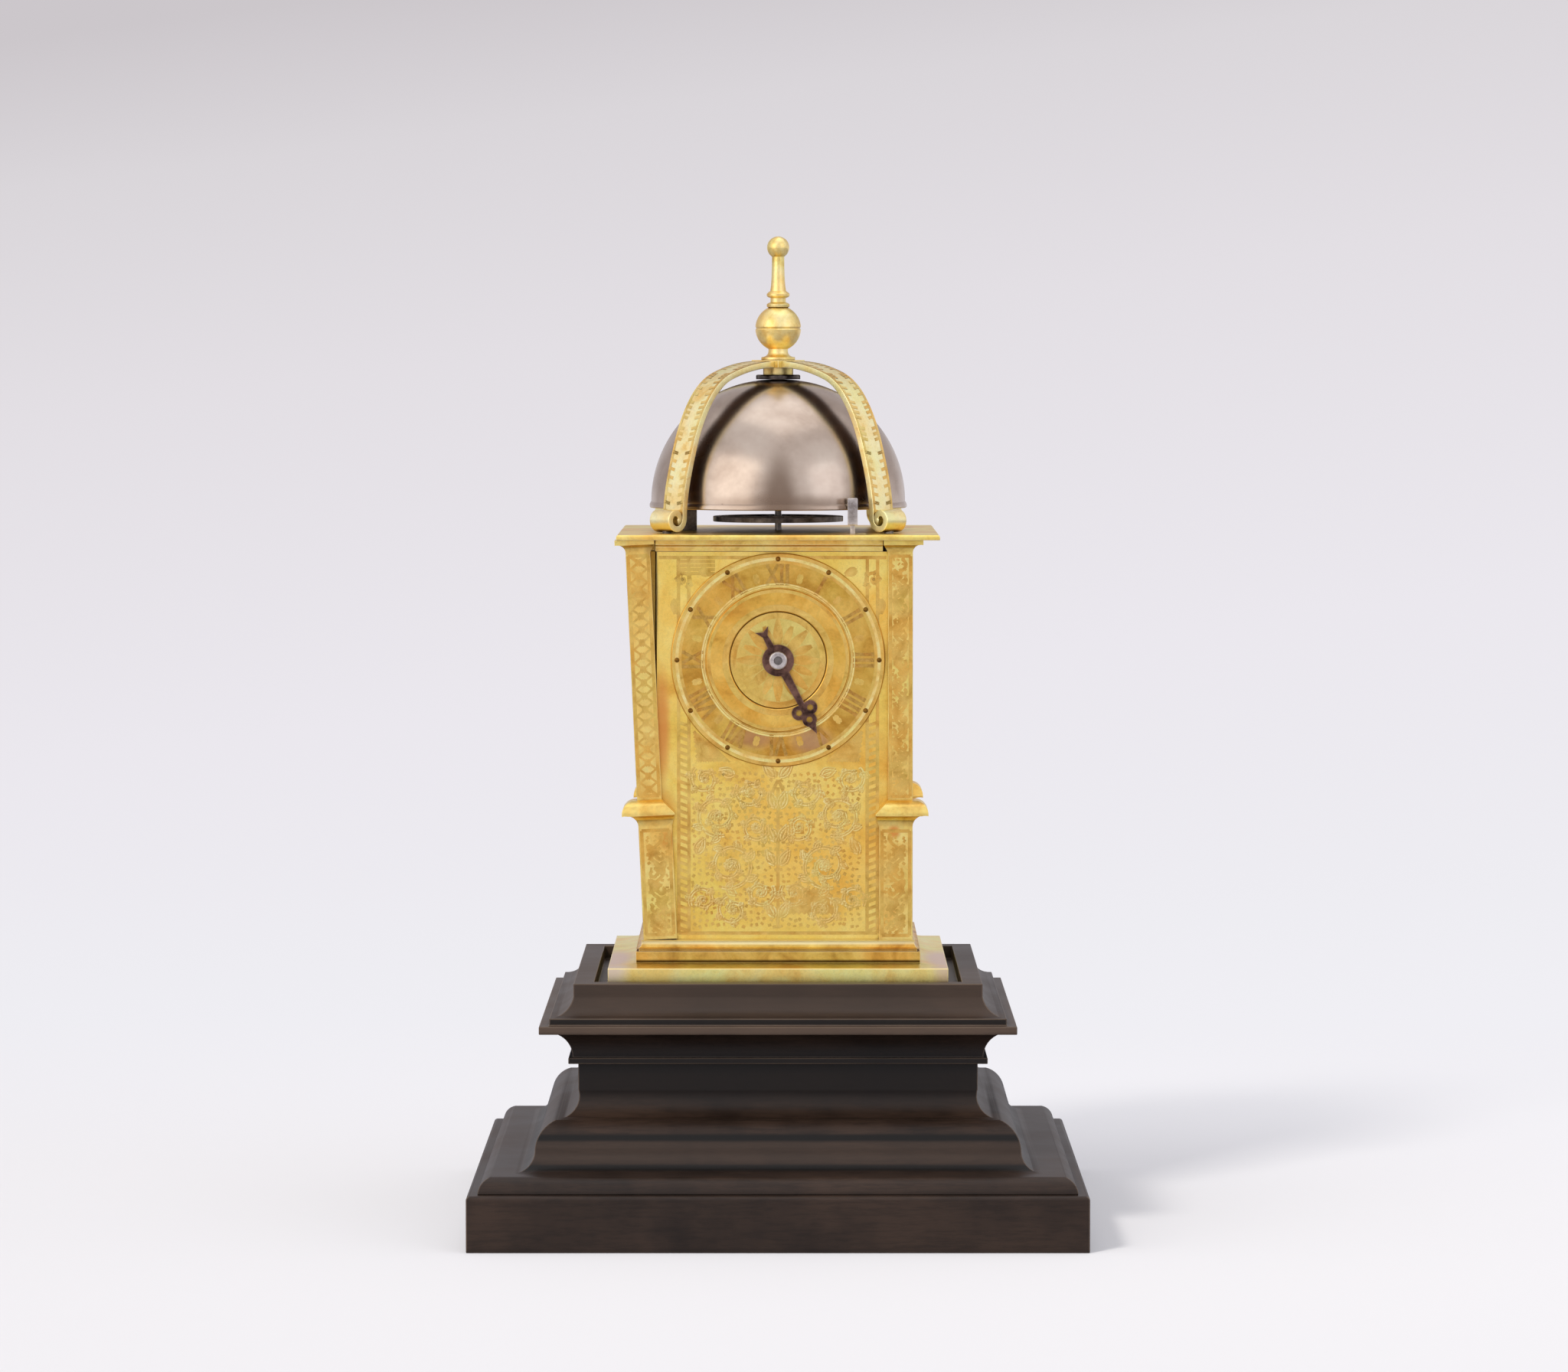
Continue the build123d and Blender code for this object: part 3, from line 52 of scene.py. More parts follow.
bodyOf = {name: body for body, names in frame["record"]["behaviour"]["bodies"].items() for name in names}


def lowOf(node):
    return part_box(node)[0] / mm


def highOf(node):
    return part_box(node)[1] / mm


def linear(hexColour):
    def one(channel):
        return channel / 12.92 if channel <= 0.04045 else ((channel + 0.055) / 1.055) ** 2.4
    return tuple(one(int(hexColour[i:i + 2], 16) / 255) for i in (1, 3, 5)) + (1.0,)


def setStops(band, stops):
    while len(band.elements) < len(stops):
        band.elements.new(0.5)
    for element, (position, colour) in zip(band.elements, stops):
        element.position = position
        element.color = linear(colour) if isinstance(colour, str) else (colour, colour, colour, 1)


# A node with its inputs and settings; a kind without its prefix is a shader node's. Where an input is given a
# node, it takes that node's first live output
def addNode(tree, kind, inputs, **settings):
    node = tree.nodes.new(kind if "Node" in kind else "ShaderNode" + kind)
    for key, value in settings.items():
        if key == "stops":
            setStops(node.color_ramp, value)
        else:
            setattr(node, key, value)
    for key, value in inputs.items():
        if isinstance(value, bpy.types.Node):
            value = next(socket for socket in value.outputs if socket.enabled)
        if isinstance(value, bpy.types.NodeSocket):
            tree.links.new(value, node.inputs[key])
        else:
            node.inputs[key].default_value = value
    return node


def perMetre(size):
    return 1000 / size  # a noise scale whose features are about this many millimetres wide


finishes = {}  # every material by its name
darken = {"data_type": "RGBA", "blend_type": "MULTIPLY"}


def startMaterial(name):
    finishes[name] = bpy.data.materials.new(name)
    finishes[name].use_nodes = True
    tree = finishes[name].node_tree
    tree.nodes.clear()
    return tree, addNode(tree, "TexCoord", {}).outputs["Object"]


def endMaterial(tree, principled):
    shader = addNode(tree, "BsdfPrincipled", principled)
    addNode(tree, "OutputMaterial", {"Surface": shader})


# How much of the edges' wear and painted highlight shows, by the mark that easedPiece leaves on its eased faces
def edgeWearAndSheenShare(tree, share):
    edge = addNode(tree, "Attribute", {}, attribute_name="rubbedEdge")
    return addNode(tree, "Math", {0: edge.outputs["Fac"], 1: share}, operation="MULTIPLY")


# Soft patches on a colour, real stains and painted light alike: each has its middle, its half sizes in millimetres,
# its tint and how strong it is
def stainAndLightPatches(tree, place, colour, stainsAndLight):
    for middle, half, tint, strength in stainsAndLight:
        shifted = addNode(tree, "VectorMath", {0: place, 1: Vector(middle) * mm}, operation="SUBTRACT")
        scaled = addNode(tree, "VectorMath", {0: shifted, 1: Vector(half) * mm}, operation="DIVIDE")
        reach = addNode(tree, "VectorMath", {0: scaled}, operation="LENGTH")
        fade = addNode(tree, "MapRange", {"Value": reach, "From Min": 1.0, "From Max": 0.35, "To Max": strength},
                       interpolation_type="SMOOTHSTEP")
        colour = addNode(tree, "Mix", {"Factor": fade, "A": colour, "B": linear(tint)}, data_type="RGBA")
    return colour


# Fire-gilt brass: a thin matt gold film, lemon here and orange there where the mercury left it uneven. The eased
# edges are paler, wear with a painted highlight, and the corners go brown by their occlusion, a painted shade where
# wax and dust also stay. Each gilding has its light, middle and deep tints, the sizes of its clouds and its ground
# and the depth of its bite in millimetres, and its roughness
gilding = {
    "fireGiltPlate": ("#ffe88c", "#fbd872", "#ecbc5a", 14.0, 0.9, 0.025, 0.38),
    "fireGiltDial": ("#eac468", "#d6aa50", "#bb8b3a", 9.0, 1.1, 0.025, 0.38),
    "fireGiltRing": ("#f8d070", "#e9b958", "#d09a44", 12.0, 2.0, 0.02, 0.36),
    "fireGiltSun": ("#ead886", "#e0c874", "#ccac58", 6.0, 0.8, 0.025, 0.4),
    "fireGiltMoulding": ("#ffec98", "#f8d87e", "#deb15c", 9.0, 2.2, 0.02, 0.32),
    "fireGiltTop": ("#ffec98", "#f8d87e", "#deb15c", 9.0, 2.2, 0.02, 0.32),
    "fireGiltFloor": ("#f0cc74", "#dcb25c", "#bc8e42", 7.0, 1.2, 0.02, 0.34),
    "fireGiltFoot": ("#fff8b0", "#ffee9a", "#f8d67c", 10.0, 1.6, 0.02, 0.32),
    "fireGiltStrap": ("#fff8cc", "#fff2ba", "#f6da92", 6.0, 1.4, 0.015, 0.34),
    "fireGiltKnop": ("#fff0b6", "#f9e29a", "#e6c472", 5.0, 1.4, 0.015, 0.36),
    "engravedGroove": ("#f0d07a", "#e2bc68", "#cba050", 5.0, 0.6, 0.01, 0.44),
    "engravedStrap": ("#f8e09e", "#eccf86", "#d6b46e", 5.0, 0.6, 0.01, 0.4),
    "burnishedLine": ("#fff0ae", "#fbe496", "#ebca76", 3.0, 0.8, 0.01, 0.32),
    "numeralWax": ("#d6ae64", "#c49a52", "#a67d42", 1.6, 0.5, 0.02, 0.46),
    "wornStudBrass": ("#9c7638", "#7c5a28", "#5c401c", 2.0, 0.6, 0.02, 0.4),
    # a dark brown gilding for the strap faces that look at the bell: painted shade
    "strapInside": ("#7d5c34", "#5f4223", "#432c15", 5.0, 1.0, 0.02, 0.5),
}
# Marks on the gilding. Tarnish seen on the front, such as the thin gilding beside the leaning pilaster and on its
# neighbour's dado; the rest are painted light: shadow in the gap beside the leaning pilaster, shade on the top
# plate and at the floor plate's foot, highlights on the floor plate's top edge and on the foot's top corners
# painted shadow: dark in the gap beside the leaning pilaster, on the plate's edge and the pilaster's inner face
wedgeShade = ((-37.6, -34, 184), (1.3, 5, 30), "#1c1008", 1.0)
giltStainsAndPaintedLight = {
    "fireGiltPlate": (((-35, -37, 152), (3.4, 6, 24), "#e0904e", 0.8),
                      ((-35, -37, 128), (6, 6, 9), "#d8984c", 0.5), wedgeShade,
                      # painted shadow: a black strip on the plate's left edge, which widens the gap
                      ((-36.9, -38, 192), (0.95, 6, 24), "#1c1008", 1.0)),
    # painted shade: the top plate darker under the bell, most in the middle
    "fireGiltTop": (((0, 0, 210.4), (46, 46, 1.8), "#75614e", 0.66),),
    # painted highlight: a pale band along the floor plate's top edge, at the front and the right
    "fireGiltFloor": (((0, -44, 87.4), (90, 30, 1.5), "#fff2b8", 0.9),
                      ((46, 0, 87.4), (16, 60, 1.5), "#fff2b8", 0.6),
                      # painted shadow: a dark line at the floor plate's foot
                      ((0, 0, lowOf("floor_plate").z), (400, 400, 1.3), "#33200c", 0.95)),
    # painted highlights: pale pinkish tints on the foot's top corners and side tops
    "fireGiltFoot": (((51, -49, 79), (6, 7, 9), "#e6ccb8", 0.6), ((-50, -49, 80), (7, 8, 8), "#f4e2c8", 0.9),
                     ((50, -24, 80), (8, 34, 5), "#e6cabc", 0.9), ((-50, -24, 80), (8, 34, 5), "#e6cabc", 0.9)),
    "fireGiltMoulding": (((35, -40.6, 120.5), (2.6, 4, 2.6), "#e08a3c", 0.8),
                         ((-33, -40.6, 118), (4, 4, 4), "#cf8434", 0.6),
                         ((-38, -40.6, 205), (3, 5, 3), "#9a6a38", 0.5), wedgeShade),
    "fireGiltDial": (((-7, -38, 148.8), (9, 5, 5), "#b98468", 0.6), ((10, -38, 148), (9, 5, 6), "#a98a80", 0.5)),
}


def fireGilt(name, look, stainsAndLight):
    light, mid, deep, cloudSize, groundSize, bite, rough = look
    tree, place = startMaterial(name)
    cloud = addNode(tree, "TexNoise", {
        "Vector": place, "Scale": perMetre(cloudSize), "Detail": 4.0, "Roughness": 0.62, "Distortion": 0.6})
    film = addNode(tree, "ValToRGB", {"Fac": cloud}, stops=((0.30, deep), (0.47, mid), (0.68, light)))
    drift = addNode(tree, "TexNoise", {
        "Vector": place, "Scale": perMetre(2.4 * cloudSize), "Detail": 3.0, "Roughness": 0.5})
    hue = addNode(tree, "ValToRGB", {"Fac": drift}, stops=((0.36, "#fbfeec"), (0.5, "#fffdf6"), (0.62, "#ffefd6")))
    tinted = addNode(tree, "Mix", {"Factor": 1.0, "A": film, "B": hue}, **darken)
    grain = addNode(tree, "TexNoise", {
        "Vector": place, "Scale": perMetre(groundSize), "Detail": 5.0, "Roughness": 0.7, "Distortion": 1.8})
    speck = addNode(tree, "ValToRGB", {"Fac": grain}, stops=((0.36, 0.66), (0.56, 1.0)))
    matted = addNode(tree, "Mix", {"Factor": 0.32, "A": tinted, "B": speck}, **darken)
    # painted shade: brown in the corners, as far as the ambient occlusion finds them closed in
    corner = addNode(tree, "AmbientOcclusion", {"Distance": 1.6 * mm}, samples=6)
    cornerDustAndShade = addNode(tree, "ValToRGB", {"Fac": corner.outputs["AO"]}, stops=((0.15, 1.0), (0.58, 0.0)))
    dustedAndShaded = addNode(tree, "Mix", {
        "Factor": cornerDustAndShade, "A": stainAndLightPatches(tree, place, matted, stainsAndLight), "B": linear("#7a4f1c")}, data_type="RGBA")
    # wear with a painted highlight: the eased edges are tinted pale
    edgeWearAndSheen = addNode(tree, "Mix", {
        "Factor": edgeWearAndSheenShare(tree, 0.8), "A": dustedAndShaded, "B": linear("#ffeaa8")}, data_type="RGBA")
    dents = addNode(tree, "TexNoise", {"Vector": place, "Scale": perMetre(5 * groundSize), "Detail": 2.0})
    soft = addNode(tree, "Bump", {"Height": dents, "Strength": 0.5, "Distance": bite * mm})
    fine = addNode(tree, "Bump", {"Height": grain, "Strength": 0.6, "Distance": bite * mm, "Normal": soft})
    shine = addNode(tree, "MapRange", {"Value": grain, "To Min": rough - 0.08, "To Max": rough + 0.12})
    endMaterial(tree, {"Metallic": 1.0, "Base Color": edgeWearAndSheen, "Roughness": shine, "Normal": fine})


# Ebonised pear: close-grained wood with a black-brown stain, waxed, so it shines softly and shows few pores. The
# bands are painted light at given heights: painted shade over the waist, dark painted shadow lines between the
# mouldings, and paler painted highlight bands on the cap, the step and near the cap's foot. Each has its height,
# half height, tint and strength
woodLook = {"stain": "#1c130e", "brown": "#30231b", "bareEdgeAndSheen": "#5a4c40", "pore": 0.35, "poreRun": 9.0,
            "cloud": 34.0, "rough": 0.42}
waistMiddle = (lowOf("base_waist").z + highOf("base_waist").z) / 2
stepLow, capLow, capHigh = lowOf("base_step_moulding").z, lowOf("base_cap").z, highOf("base_cap").z
# painted shade and highlight bands: waist shade, cap and step highlights, shadow lines and a highlight line
woodShadeAndHighlightBands = ((waistMiddle, 13, "#0a0604", 0.9), (capHigh, 16, "#3c3027", 0.55),
             (stepLow + 10.6, 4.6, "#43372f", 0.4), (stepLow + 14.8, 1.5, "#030201", 0.95),
             (stepLow + 6.2, 1.3, "#030201", 0.9), (capLow + 3.6, 1.2, "#030201", 0.8),
             (capLow + 1.4, 1.6, "#5a4a3e", 0.5))


def ebonisedPear(name, look):
    tree, place = startMaterial(name)
    along = addNode(tree, "Mapping", {"Vector": place, "Scale": (1.0, look["poreRun"], look["poreRun"])})
    cloud = addNode(tree, "TexNoise", {
        "Vector": place, "Scale": perMetre(look["cloud"]), "Detail": 4.0, "Roughness": 0.6})
    grain = addNode(tree, "TexNoise", {
        "Vector": along, "Scale": perMetre(look["pore"] * look["poreRun"] * 3), "Detail": 6.0, "Roughness": 0.7,
        "Distortion": 0.3})
    stain = addNode(tree, "ValToRGB", {"Fac": cloud}, stops=((0.35, look["stain"]), (0.66, look["brown"])))
    pores = addNode(tree, "ValToRGB", {"Fac": grain}, stops=((0.38, 0.55), (0.55, 1.0)))
    pored = addNode(tree, "Mix", {"Factor": 0.7, "A": stain, "B": pores}, **darken)
    # the painted shade and highlight bands, level all round
    levels = [((0, 0, height), (400, 400, half), tint, strength) for height, half, tint, strength in woodShadeAndHighlightBands]
    # wear with a painted highlight: the eased edges show paler bare wood, more where the cloud is light
    edgeWornAndLit = addNode(tree, "Mix", {
        "Factor": edgeWearAndSheenShare(tree, cloud.outputs["Fac"]), "A": stainAndLightPatches(tree, place, pored, levels),
        "B": linear(look["bareEdgeAndSheen"])}, data_type="RGBA")
    # painted shade: darker in the corners and the reveals between mouldings, by the ambient occlusion
    corner = addNode(tree, "AmbientOcclusion", {"Distance": 3.2 * mm}, samples=6)
    paintedCornerShade = addNode(tree, "ValToRGB", {"Fac": corner.outputs["AO"]}, stops=((0.2, 0.95), (0.72, 0.0)))
    cornerShaded = addNode(tree, "Mix", {"Factor": paintedCornerShade, "A": edgeWornAndLit, "B": linear("#050302")}, data_type="RGBA")
    shine = addNode(tree, "MapRange", {
        "Value": cloud, "To Min": look["rough"] - 0.08, "To Max": look["rough"] + 0.14})
    bump = addNode(tree, "Bump", {"Height": grain, "Strength": 0.35, "Distance": 0.06 * mm})
    endMaterial(tree, {"Metallic": 0.0, "IOR": 1.45, "Specular IOR Level": 0.34, "Base Color": cornerShaded,
                       "Roughness": shine, "Normal": bump})


# Bell metal: tin-rich bronze, turned on a lathe and tarnished, so it mirrors softly in a warm grey, with fine rings
# round it and a few casting pits. A dark streak and a darker band low on its front are painted reflections
bellLook = {"pale": "#c8b9aa", "warm": "#bcab9c", "dull": "#a89687", "cloud": 16.0, "pit": 5.5, "ring": 0.9,
            "rough": 0.22}
# painted reflections: a dark streak down the bell's front and a darker band low across it
bellPaintedReflections = (((0.4, -36, 218.5), (6.8, 14, 21), "#7a6657", 0.85), ((0, -36, 219), (27, 16, 4.5), "#86705f", 0.6))


def bellMetal(name, look):
    tree, place = startMaterial(name)
    cloud = addNode(tree, "TexNoise", {
        "Vector": place, "Scale": perMetre(look["cloud"]), "Detail": 5.0, "Roughness": 0.55})
    tone = addNode(tree, "ValToRGB", {"Fac": cloud}, stops=(
        (0.32, look["dull"]), (0.5, look["warm"]), (0.7, look["pale"])))
    pits = addNode(tree, "TexVoronoi", {"Vector": place, "Scale": perMetre(look["pit"])})
    rare = addNode(tree, "Math", {0: pits.outputs["Color"], 1: 0.72}, operation="GREATER_THAN")
    hole = addNode(tree, "ValToRGB", {"Fac": pits.outputs["Distance"]}, stops=((0.035, 1.0), (0.085, 0.0)))
    spot = addNode(tree, "Math", {0: hole, 1: rare}, operation="MULTIPLY")
    pitted = addNode(tree, "Mix", {
        "Factor": spot, "A": stainAndLightPatches(tree, place, tone, bellPaintedReflections), "B": linear("#4b3d36")}, data_type="RGBA")
    shine = addNode(tree, "MapRange", {
        "Value": cloud, "To Min": look["rough"] + 0.1, "To Max": look["rough"] - 0.04})
    # the lathe's rings, drawn coarser than real so that they show
    rings = addNode(tree, "TexWave", {
        "Vector": place, "Scale": perMetre(look["ring"]) / 20, "Distortion": 0.4}, bands_direction="Z")
    low = addNode(tree, "Bump", {"Height": rings.outputs["Fac"], "Strength": 0.12, "Distance": 0.01 * mm})
    sunk = addNode(tree, "Bump", {
        "Height": spot, "Strength": 0.6, "Distance": 0.2 * mm, "Normal": low}, invert=True)
    endMaterial(tree, {"Metallic": 1.0, "Base Color": pitted, "Roughness": shine, "Normal": sunk})


# Filed metals: iron frame, steel arbors, browned hand, brass wheels. The file leaves level streaks, so they shine
# unevenly. Each has its light and dark tints, its roughness, how metallic it is and the size of its file marks
filedLooks = {
    "frameIron": ("#5a5452", "#332f2e", 0.5, 1.0, 0.5),
    "arborSteel": ("#8d8784", "#504a48", 0.32, 1.0, 0.35),
    "darkSteel": ("#6f6660", "#2e2826", 0.3, 1.0, 0.8),
    "brownedHand": ("#7d5c50", "#2a1a16", 0.34, 0.9, 1.1),
    "handPin": ("#dcd5d2", "#9c9391", 0.34, 1.0, 0.9),
    "paleSteel": ("#d8d0cc", "#8f8682", 0.3, 1.0, 0.8),
    "wheelBrass": ("#d9b36a", "#a47c3a", 0.3, 1.0, 0.4),
}


def filedMetal(name, look):
    light, dark, rough, metallic, fileMark = look
    tree, place = startMaterial(name)
    cloud = addNode(tree, "TexNoise", {"Vector": place, "Scale": perMetre(4.0), "Detail": 5.0, "Roughness": 0.65})
    tone = addNode(tree, "ValToRGB", {"Fac": cloud}, stops=((0.35, dark), (0.65, light)))
    # wear with a painted highlight: the eased edges are screened paler
    edgeWornAndLit = addNode(tree, "Mix", {
        "Factor": edgeWearAndSheenShare(tree, 0.5), "A": tone, "B": linear(light)}, data_type="RGBA", blend_type="SCREEN")
    across = addNode(tree, "Mapping", {"Vector": place, "Scale": (1.0, 1.0, 9.0)})
    strokes = addNode(tree, "TexNoise", {
        "Vector": across, "Scale": perMetre(3 * fileMark), "Detail": 4.0, "Roughness": 0.7})
    shine = addNode(tree, "MapRange", {"Value": strokes, "To Min": rough - 0.08, "To Max": rough + 0.14})
    bump = addNode(tree, "Bump", {"Height": strokes, "Strength": 0.5, "Distance": 0.03 * mm})
    endMaterial(tree, {"Metallic": metallic, "Base Color": edgeWornAndLit, "Roughness": shine, "Normal": bump})


for name, look in gilding.items():
    fireGilt(name, look, giltStainsAndPaintedLight.get(name, ()))
for name, look in filedLooks.items():
    filedMetal(name, look)
ebonisedPear("ebonisedPear", woodLook)
bellMetal("turnedBellMetal", bellLook)
print("materials made")


def newObject(name, data):
    thing = bpy.data.objects.new(name, data)
    bpy.context.scene.collection.objects.link(thing)
    return thing


def finishPiece(piece, node, finish=None, replaced=()):
    if finish:
        piece.data.materials.clear()
        piece.data.materials.append(finishes[finish])
    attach(piece, bodyOf[node])
    if replaced:
        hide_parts(*replaced)
    return piece


def newPiece(name, work):
    mesh = bpy.data.meshes.new(name)
    work.to_mesh(mesh)
    work.free()
    return newObject(name, mesh)


def shadeSoft(piece, angle=32):
    piece.data.shade_smooth()
    piece.data.set_sharp_from_angle(angle=radians(angle))
    piece.modifiers.new("evenNormals", "WEIGHTED_NORMAL").keep_sharp = True


# A rigid piece keeps its imported shape, with its edges eased and marked for wear and a painted highlight
def easedPiece(node, width, finish):
    work = bmesh.new()
    work.from_mesh(cadNodes[node].data)
    edgeWearAndSheen = work.faces.layers.float.new("rubbedEdge")
    bmesh.ops.remove_doubles(work, verts=work.verts, dist=0.01 * mm)
    bmesh.ops.dissolve_limit(work, angle_limit=radians(0.6), verts=work.verts, edges=work.edges)
    sharp = [e for e in work.edges if len(e.link_faces) == 2 and e.calc_face_angle(0) > radians(30)]
    eased = bmesh.ops.bevel(work, geom=sharp, offset=width * mm, segments=2, profile=0.6, affect="EDGES",
                            clamp_overlap=True)
    for face in eased["faces"]:
        face[edgeWearAndSheen] = 1.0
    piece = newPiece(node + "_shell", work)
    shadeSoft(piece)
    finishPiece(piece, node, finish, (node,))


def turnedPiece(node, profile, steps, finish, place=Matrix()):
    work = bmesh.new()
    rings = []
    for radius, height in profile:
        turns = [2 * pi * k / steps for k in range(steps)] if radius > 0.001 else [0]
        rings.append([work.verts.new((radius * cos(turn) * mm, radius * sin(turn) * mm, height * mm))
                      for turn in turns])
    for low, high in zip(rings, rings[1:]):
        for k in range(steps):
            corners = (low[k % len(low)], low[(k + 1) % len(low)], high[(k + 1) % len(high)], high[k % len(high)])
            kept = list(dict.fromkeys(corners))
            if len(kept) > 2:
                work.faces.new(kept)
    bmesh.ops.recalc_face_normals(work, faces=work.faces)
    piece = newPiece(node + "_shell", work)
    piece.data.transform(place)
    shadeSoft(piece)
    finishPiece(piece, node, finish, (node,))


def domeLine(foot, crown, steps=40):
    # a quarter of an ellipse, upright at the foot and level at the crown
    return [(crown[0] + (foot[0] - crown[0]) * cos(pi / 2 * k / steps),
             foot[1] + (crown[1] - foot[1]) * sin(pi / 2 * k / steps)) for k in range(1, steps + 1)]


# Wooden base, four mitred mouldings
baseEase = {"base_plinth": 0.35, "base_step_moulding": 0.3, "base_waist": 0.25, "base_cap": 0.3}
for node, width in baseEase.items():
    easedPiece(node, width, "ebonisedPear")
print("base made")

# Gilt case
caseLook = {
    "foot_plate": (0.3, "fireGiltFoot"), "floor_plate": (0.2, "fireGiltFloor"),
    **dict.fromkeys(("pilaster_front_left", "pilaster_front_right", "pilaster_back_left", "pilaster_back_right"),
                    (0.18, "fireGiltMoulding")),
    **dict.fromkeys(("front_plate", "back_plate"), (0.12, "fireGiltPlate")),
    **dict.fromkeys(("cornice_front", "cornice_right", "cornice_back", "cornice_left"), (0.12, "fireGiltMoulding")),
    "top_plate": (0.2, "fireGiltTop"), "right_door": (0.15, "fireGiltPlate"), "left_door": (0.15, "fireGiltPlate"),
    "strap_hub": (0.25, "fireGiltKnop"),
}
for node, (width, finish) in caseLook.items():
    easedPiece(node, width, finish)
print("case made")


# What each tree starts with: a line or points to follow, its named sizes and its metal
def startTree(name, **sizes):
    tree = bpy.data.node_groups.new(name, "GeometryNodeTree")
    for label, kind in (("Geometry", "Geometry"), *sizes.items(), ("Metal", "Material")):
        tree.interface.new_socket(label, in_out="INPUT", socket_type="NodeSocket" + kind)
    tree.interface.new_socket("Geometry", in_out="OUTPUT", socket_type="NodeSocketGeometry")
    return tree, addNode(tree, "NodeGroupInput", {}).outputs


def endTree(tree, given, shape):
    solid = addNode(tree, "GeometryNodeRealizeInstances", {"Geometry": shape})
    painted = addNode(tree, "GeometryNodeSetMaterial", {"Geometry": solid, "Material": given["Metal"]})
    addNode(tree, "NodeGroupOutput", {"Geometry": painted})
    return tree


def lineCarrier(name, runs):
    # loose edges along each run of points in millimetres, for a tree to follow
    points, links = [], []
    for run in runs:
        links += [(len(points) + k, len(points) + k + 1) for k in range(len(run) - 1)]
        points += [Vector(point) * mm for point in run]
    mesh = bpy.data.meshes.new(name)
    mesh.from_pydata(points, links, [])
    return newObject(name, mesh)


def bakedPiece(name, carrier, tree, values, node, replaced=()):
    modifier = carrier.modifiers.new("making", "NODES")
    modifier.node_group = tree
    for item in tree.interface.items_tree:
        if item.in_out == "INPUT" and item.name in values:
            modifier[item.identifier] = values[item.name]
    shown = carrier.evaluated_get(bpy.context.evaluated_depsgraph_get())
    mesh = bpy.data.meshes.new_from_object(shown)
    mesh.name = name
    carrier.modifiers.remove(modifier)
    bpy.data.objects.remove(carrier)
    return finishPiece(newObject(name, mesh), node, None, replaced)


# Engraving. Each stroke is a run of (point, outward direction, width), all in millimetres; a shallow groove
# with two sloping sides lies along it, as a graver leaves it
groove = {"half": 0.5, "proud": 0.03, "floor": 0.008}


def grooveTree():
    tree, given = startTree("gravenLines", HalfWidth="Float", EdgeHeight="Float", FloorHeight="Float")
    cutWidth = addNode(tree, "GeometryNodeInputNamedAttribute", {"Name": "cutWidth"}, data_type="FLOAT")
    facing = addNode(tree, "GeometryNodeInputNamedAttribute", {"Name": "cutFacing"}, data_type="FLOAT_VECTOR")
    lines = addNode(tree, "GeometryNodeMeshToCurve", {"Mesh": given["Geometry"]})
    sized = addNode(tree, "GeometryNodeSetCurveRadius", {"Curve": lines, "Radius": cutWidth})
    turned = addNode(tree, "GeometryNodeSetCurveNormal", {"Curve": sized, "Normal": facing}, mode="FREE")
    left = addNode(tree, "Math", {0: given["HalfWidth"], 1: -1.0}, operation="MULTIPLY")
    start, middle, end = [addNode(tree, "CombineXYZ", {"X": given[high], "Y": side}) for high, side in (
        ("EdgeHeight", left), ("FloorHeight", 0.0), ("EdgeHeight", given["HalfWidth"]))]
    section = addNode(tree, "GeometryNodeCurveArc", {
        "Resolution": 3, "Start": start, "Middle": middle, "End": end}, mode="POINTS")
    return endTree(tree, given, addNode(tree, "GeometryNodeCurveToMesh", {
        "Curve": turned, "Profile Curve": section}))


gravenLines = grooveTree()


def engrave(name, strokes, node, finish="engravedGroove"):
    carrier = lineCarrier(name + "_lines", [[point for point, facing, width in stroke] for stroke in strokes])
    cuts = [cut for stroke in strokes for cut in stroke]
    for label, kind, field, values in (
            ("cutWidth", "FLOAT", "value", [width for point, facing, width in cuts]),
            ("cutFacing", "FLOAT_VECTOR", "vector", [part for point, facing, width in cuts for part in facing])):
        carrier.data.attributes.new(label, kind, "POINT").data.foreach_set(field, values)
    return bakedPiece(name, carrier, gravenLines, {
        "HalfWidth": groove["half"] * mm, "EdgeHeight": groove["proud"] * mm, "FloorHeight": groove["floor"] * mm,
        "Metal": finishes[finish]}, node)


# Flat drawings: lines of (u, v, width) points on a face, laid on one of the clock's sides further down
def taper(line, width, tail=0.25):
    last = max(len(line) - 1, 1)
    return [(u, v, width * min(1.0, tail + (1 - tail) * 3.2 * min(k / last, 1 - k / last)))
            for k, (u, v) in enumerate(line)]


def straight(u0, v0, u1, v1, width, steps):
    return [(u0 + (u1 - u0) * k / steps, v0 + (v1 - v0) * k / steps, width) for k in range(steps + 1)]


def ring(u, v, radius, width, steps, start=0.0, sweep=360.0):
    return [(u + radius * sin(radians(start + sweep * k / steps)),
             v + radius * cos(radians(start + sweep * k / steps)), width) for k in range(steps + 1)]


def mirrored(lines):
    return [[(-u, v, w) for u, v, w in line] for line in lines]


def leaf(u, v, heading, length, fullness, width):
    # pointed leaf with two curved sides and a rib, seen lying along its heading in degrees from straight up
    lines = []
    along = (sin(radians(heading)), cos(radians(heading)))
    aside = (along[1], -along[0])
    for bulge in (-fullness * length, fullness * length):
        shape = [(length * t, bulge * sin(pi * t ** 0.8) * (1 - 0.25 * t))
                 for t in (0, 0.15, 0.35, 0.55, 0.75, 0.9, 1)]
        lines.append(taper([(u + along[0] * a + aside[0] * b, v + along[1] * a + aside[1] * b) for a, b in shape],
                           width))
    lines.append(taper([(u + along[0] * length * t, v + along[1] * length * t) for t in (0.1, 0.4, 0.7)],
                       0.7 * width))
    return lines


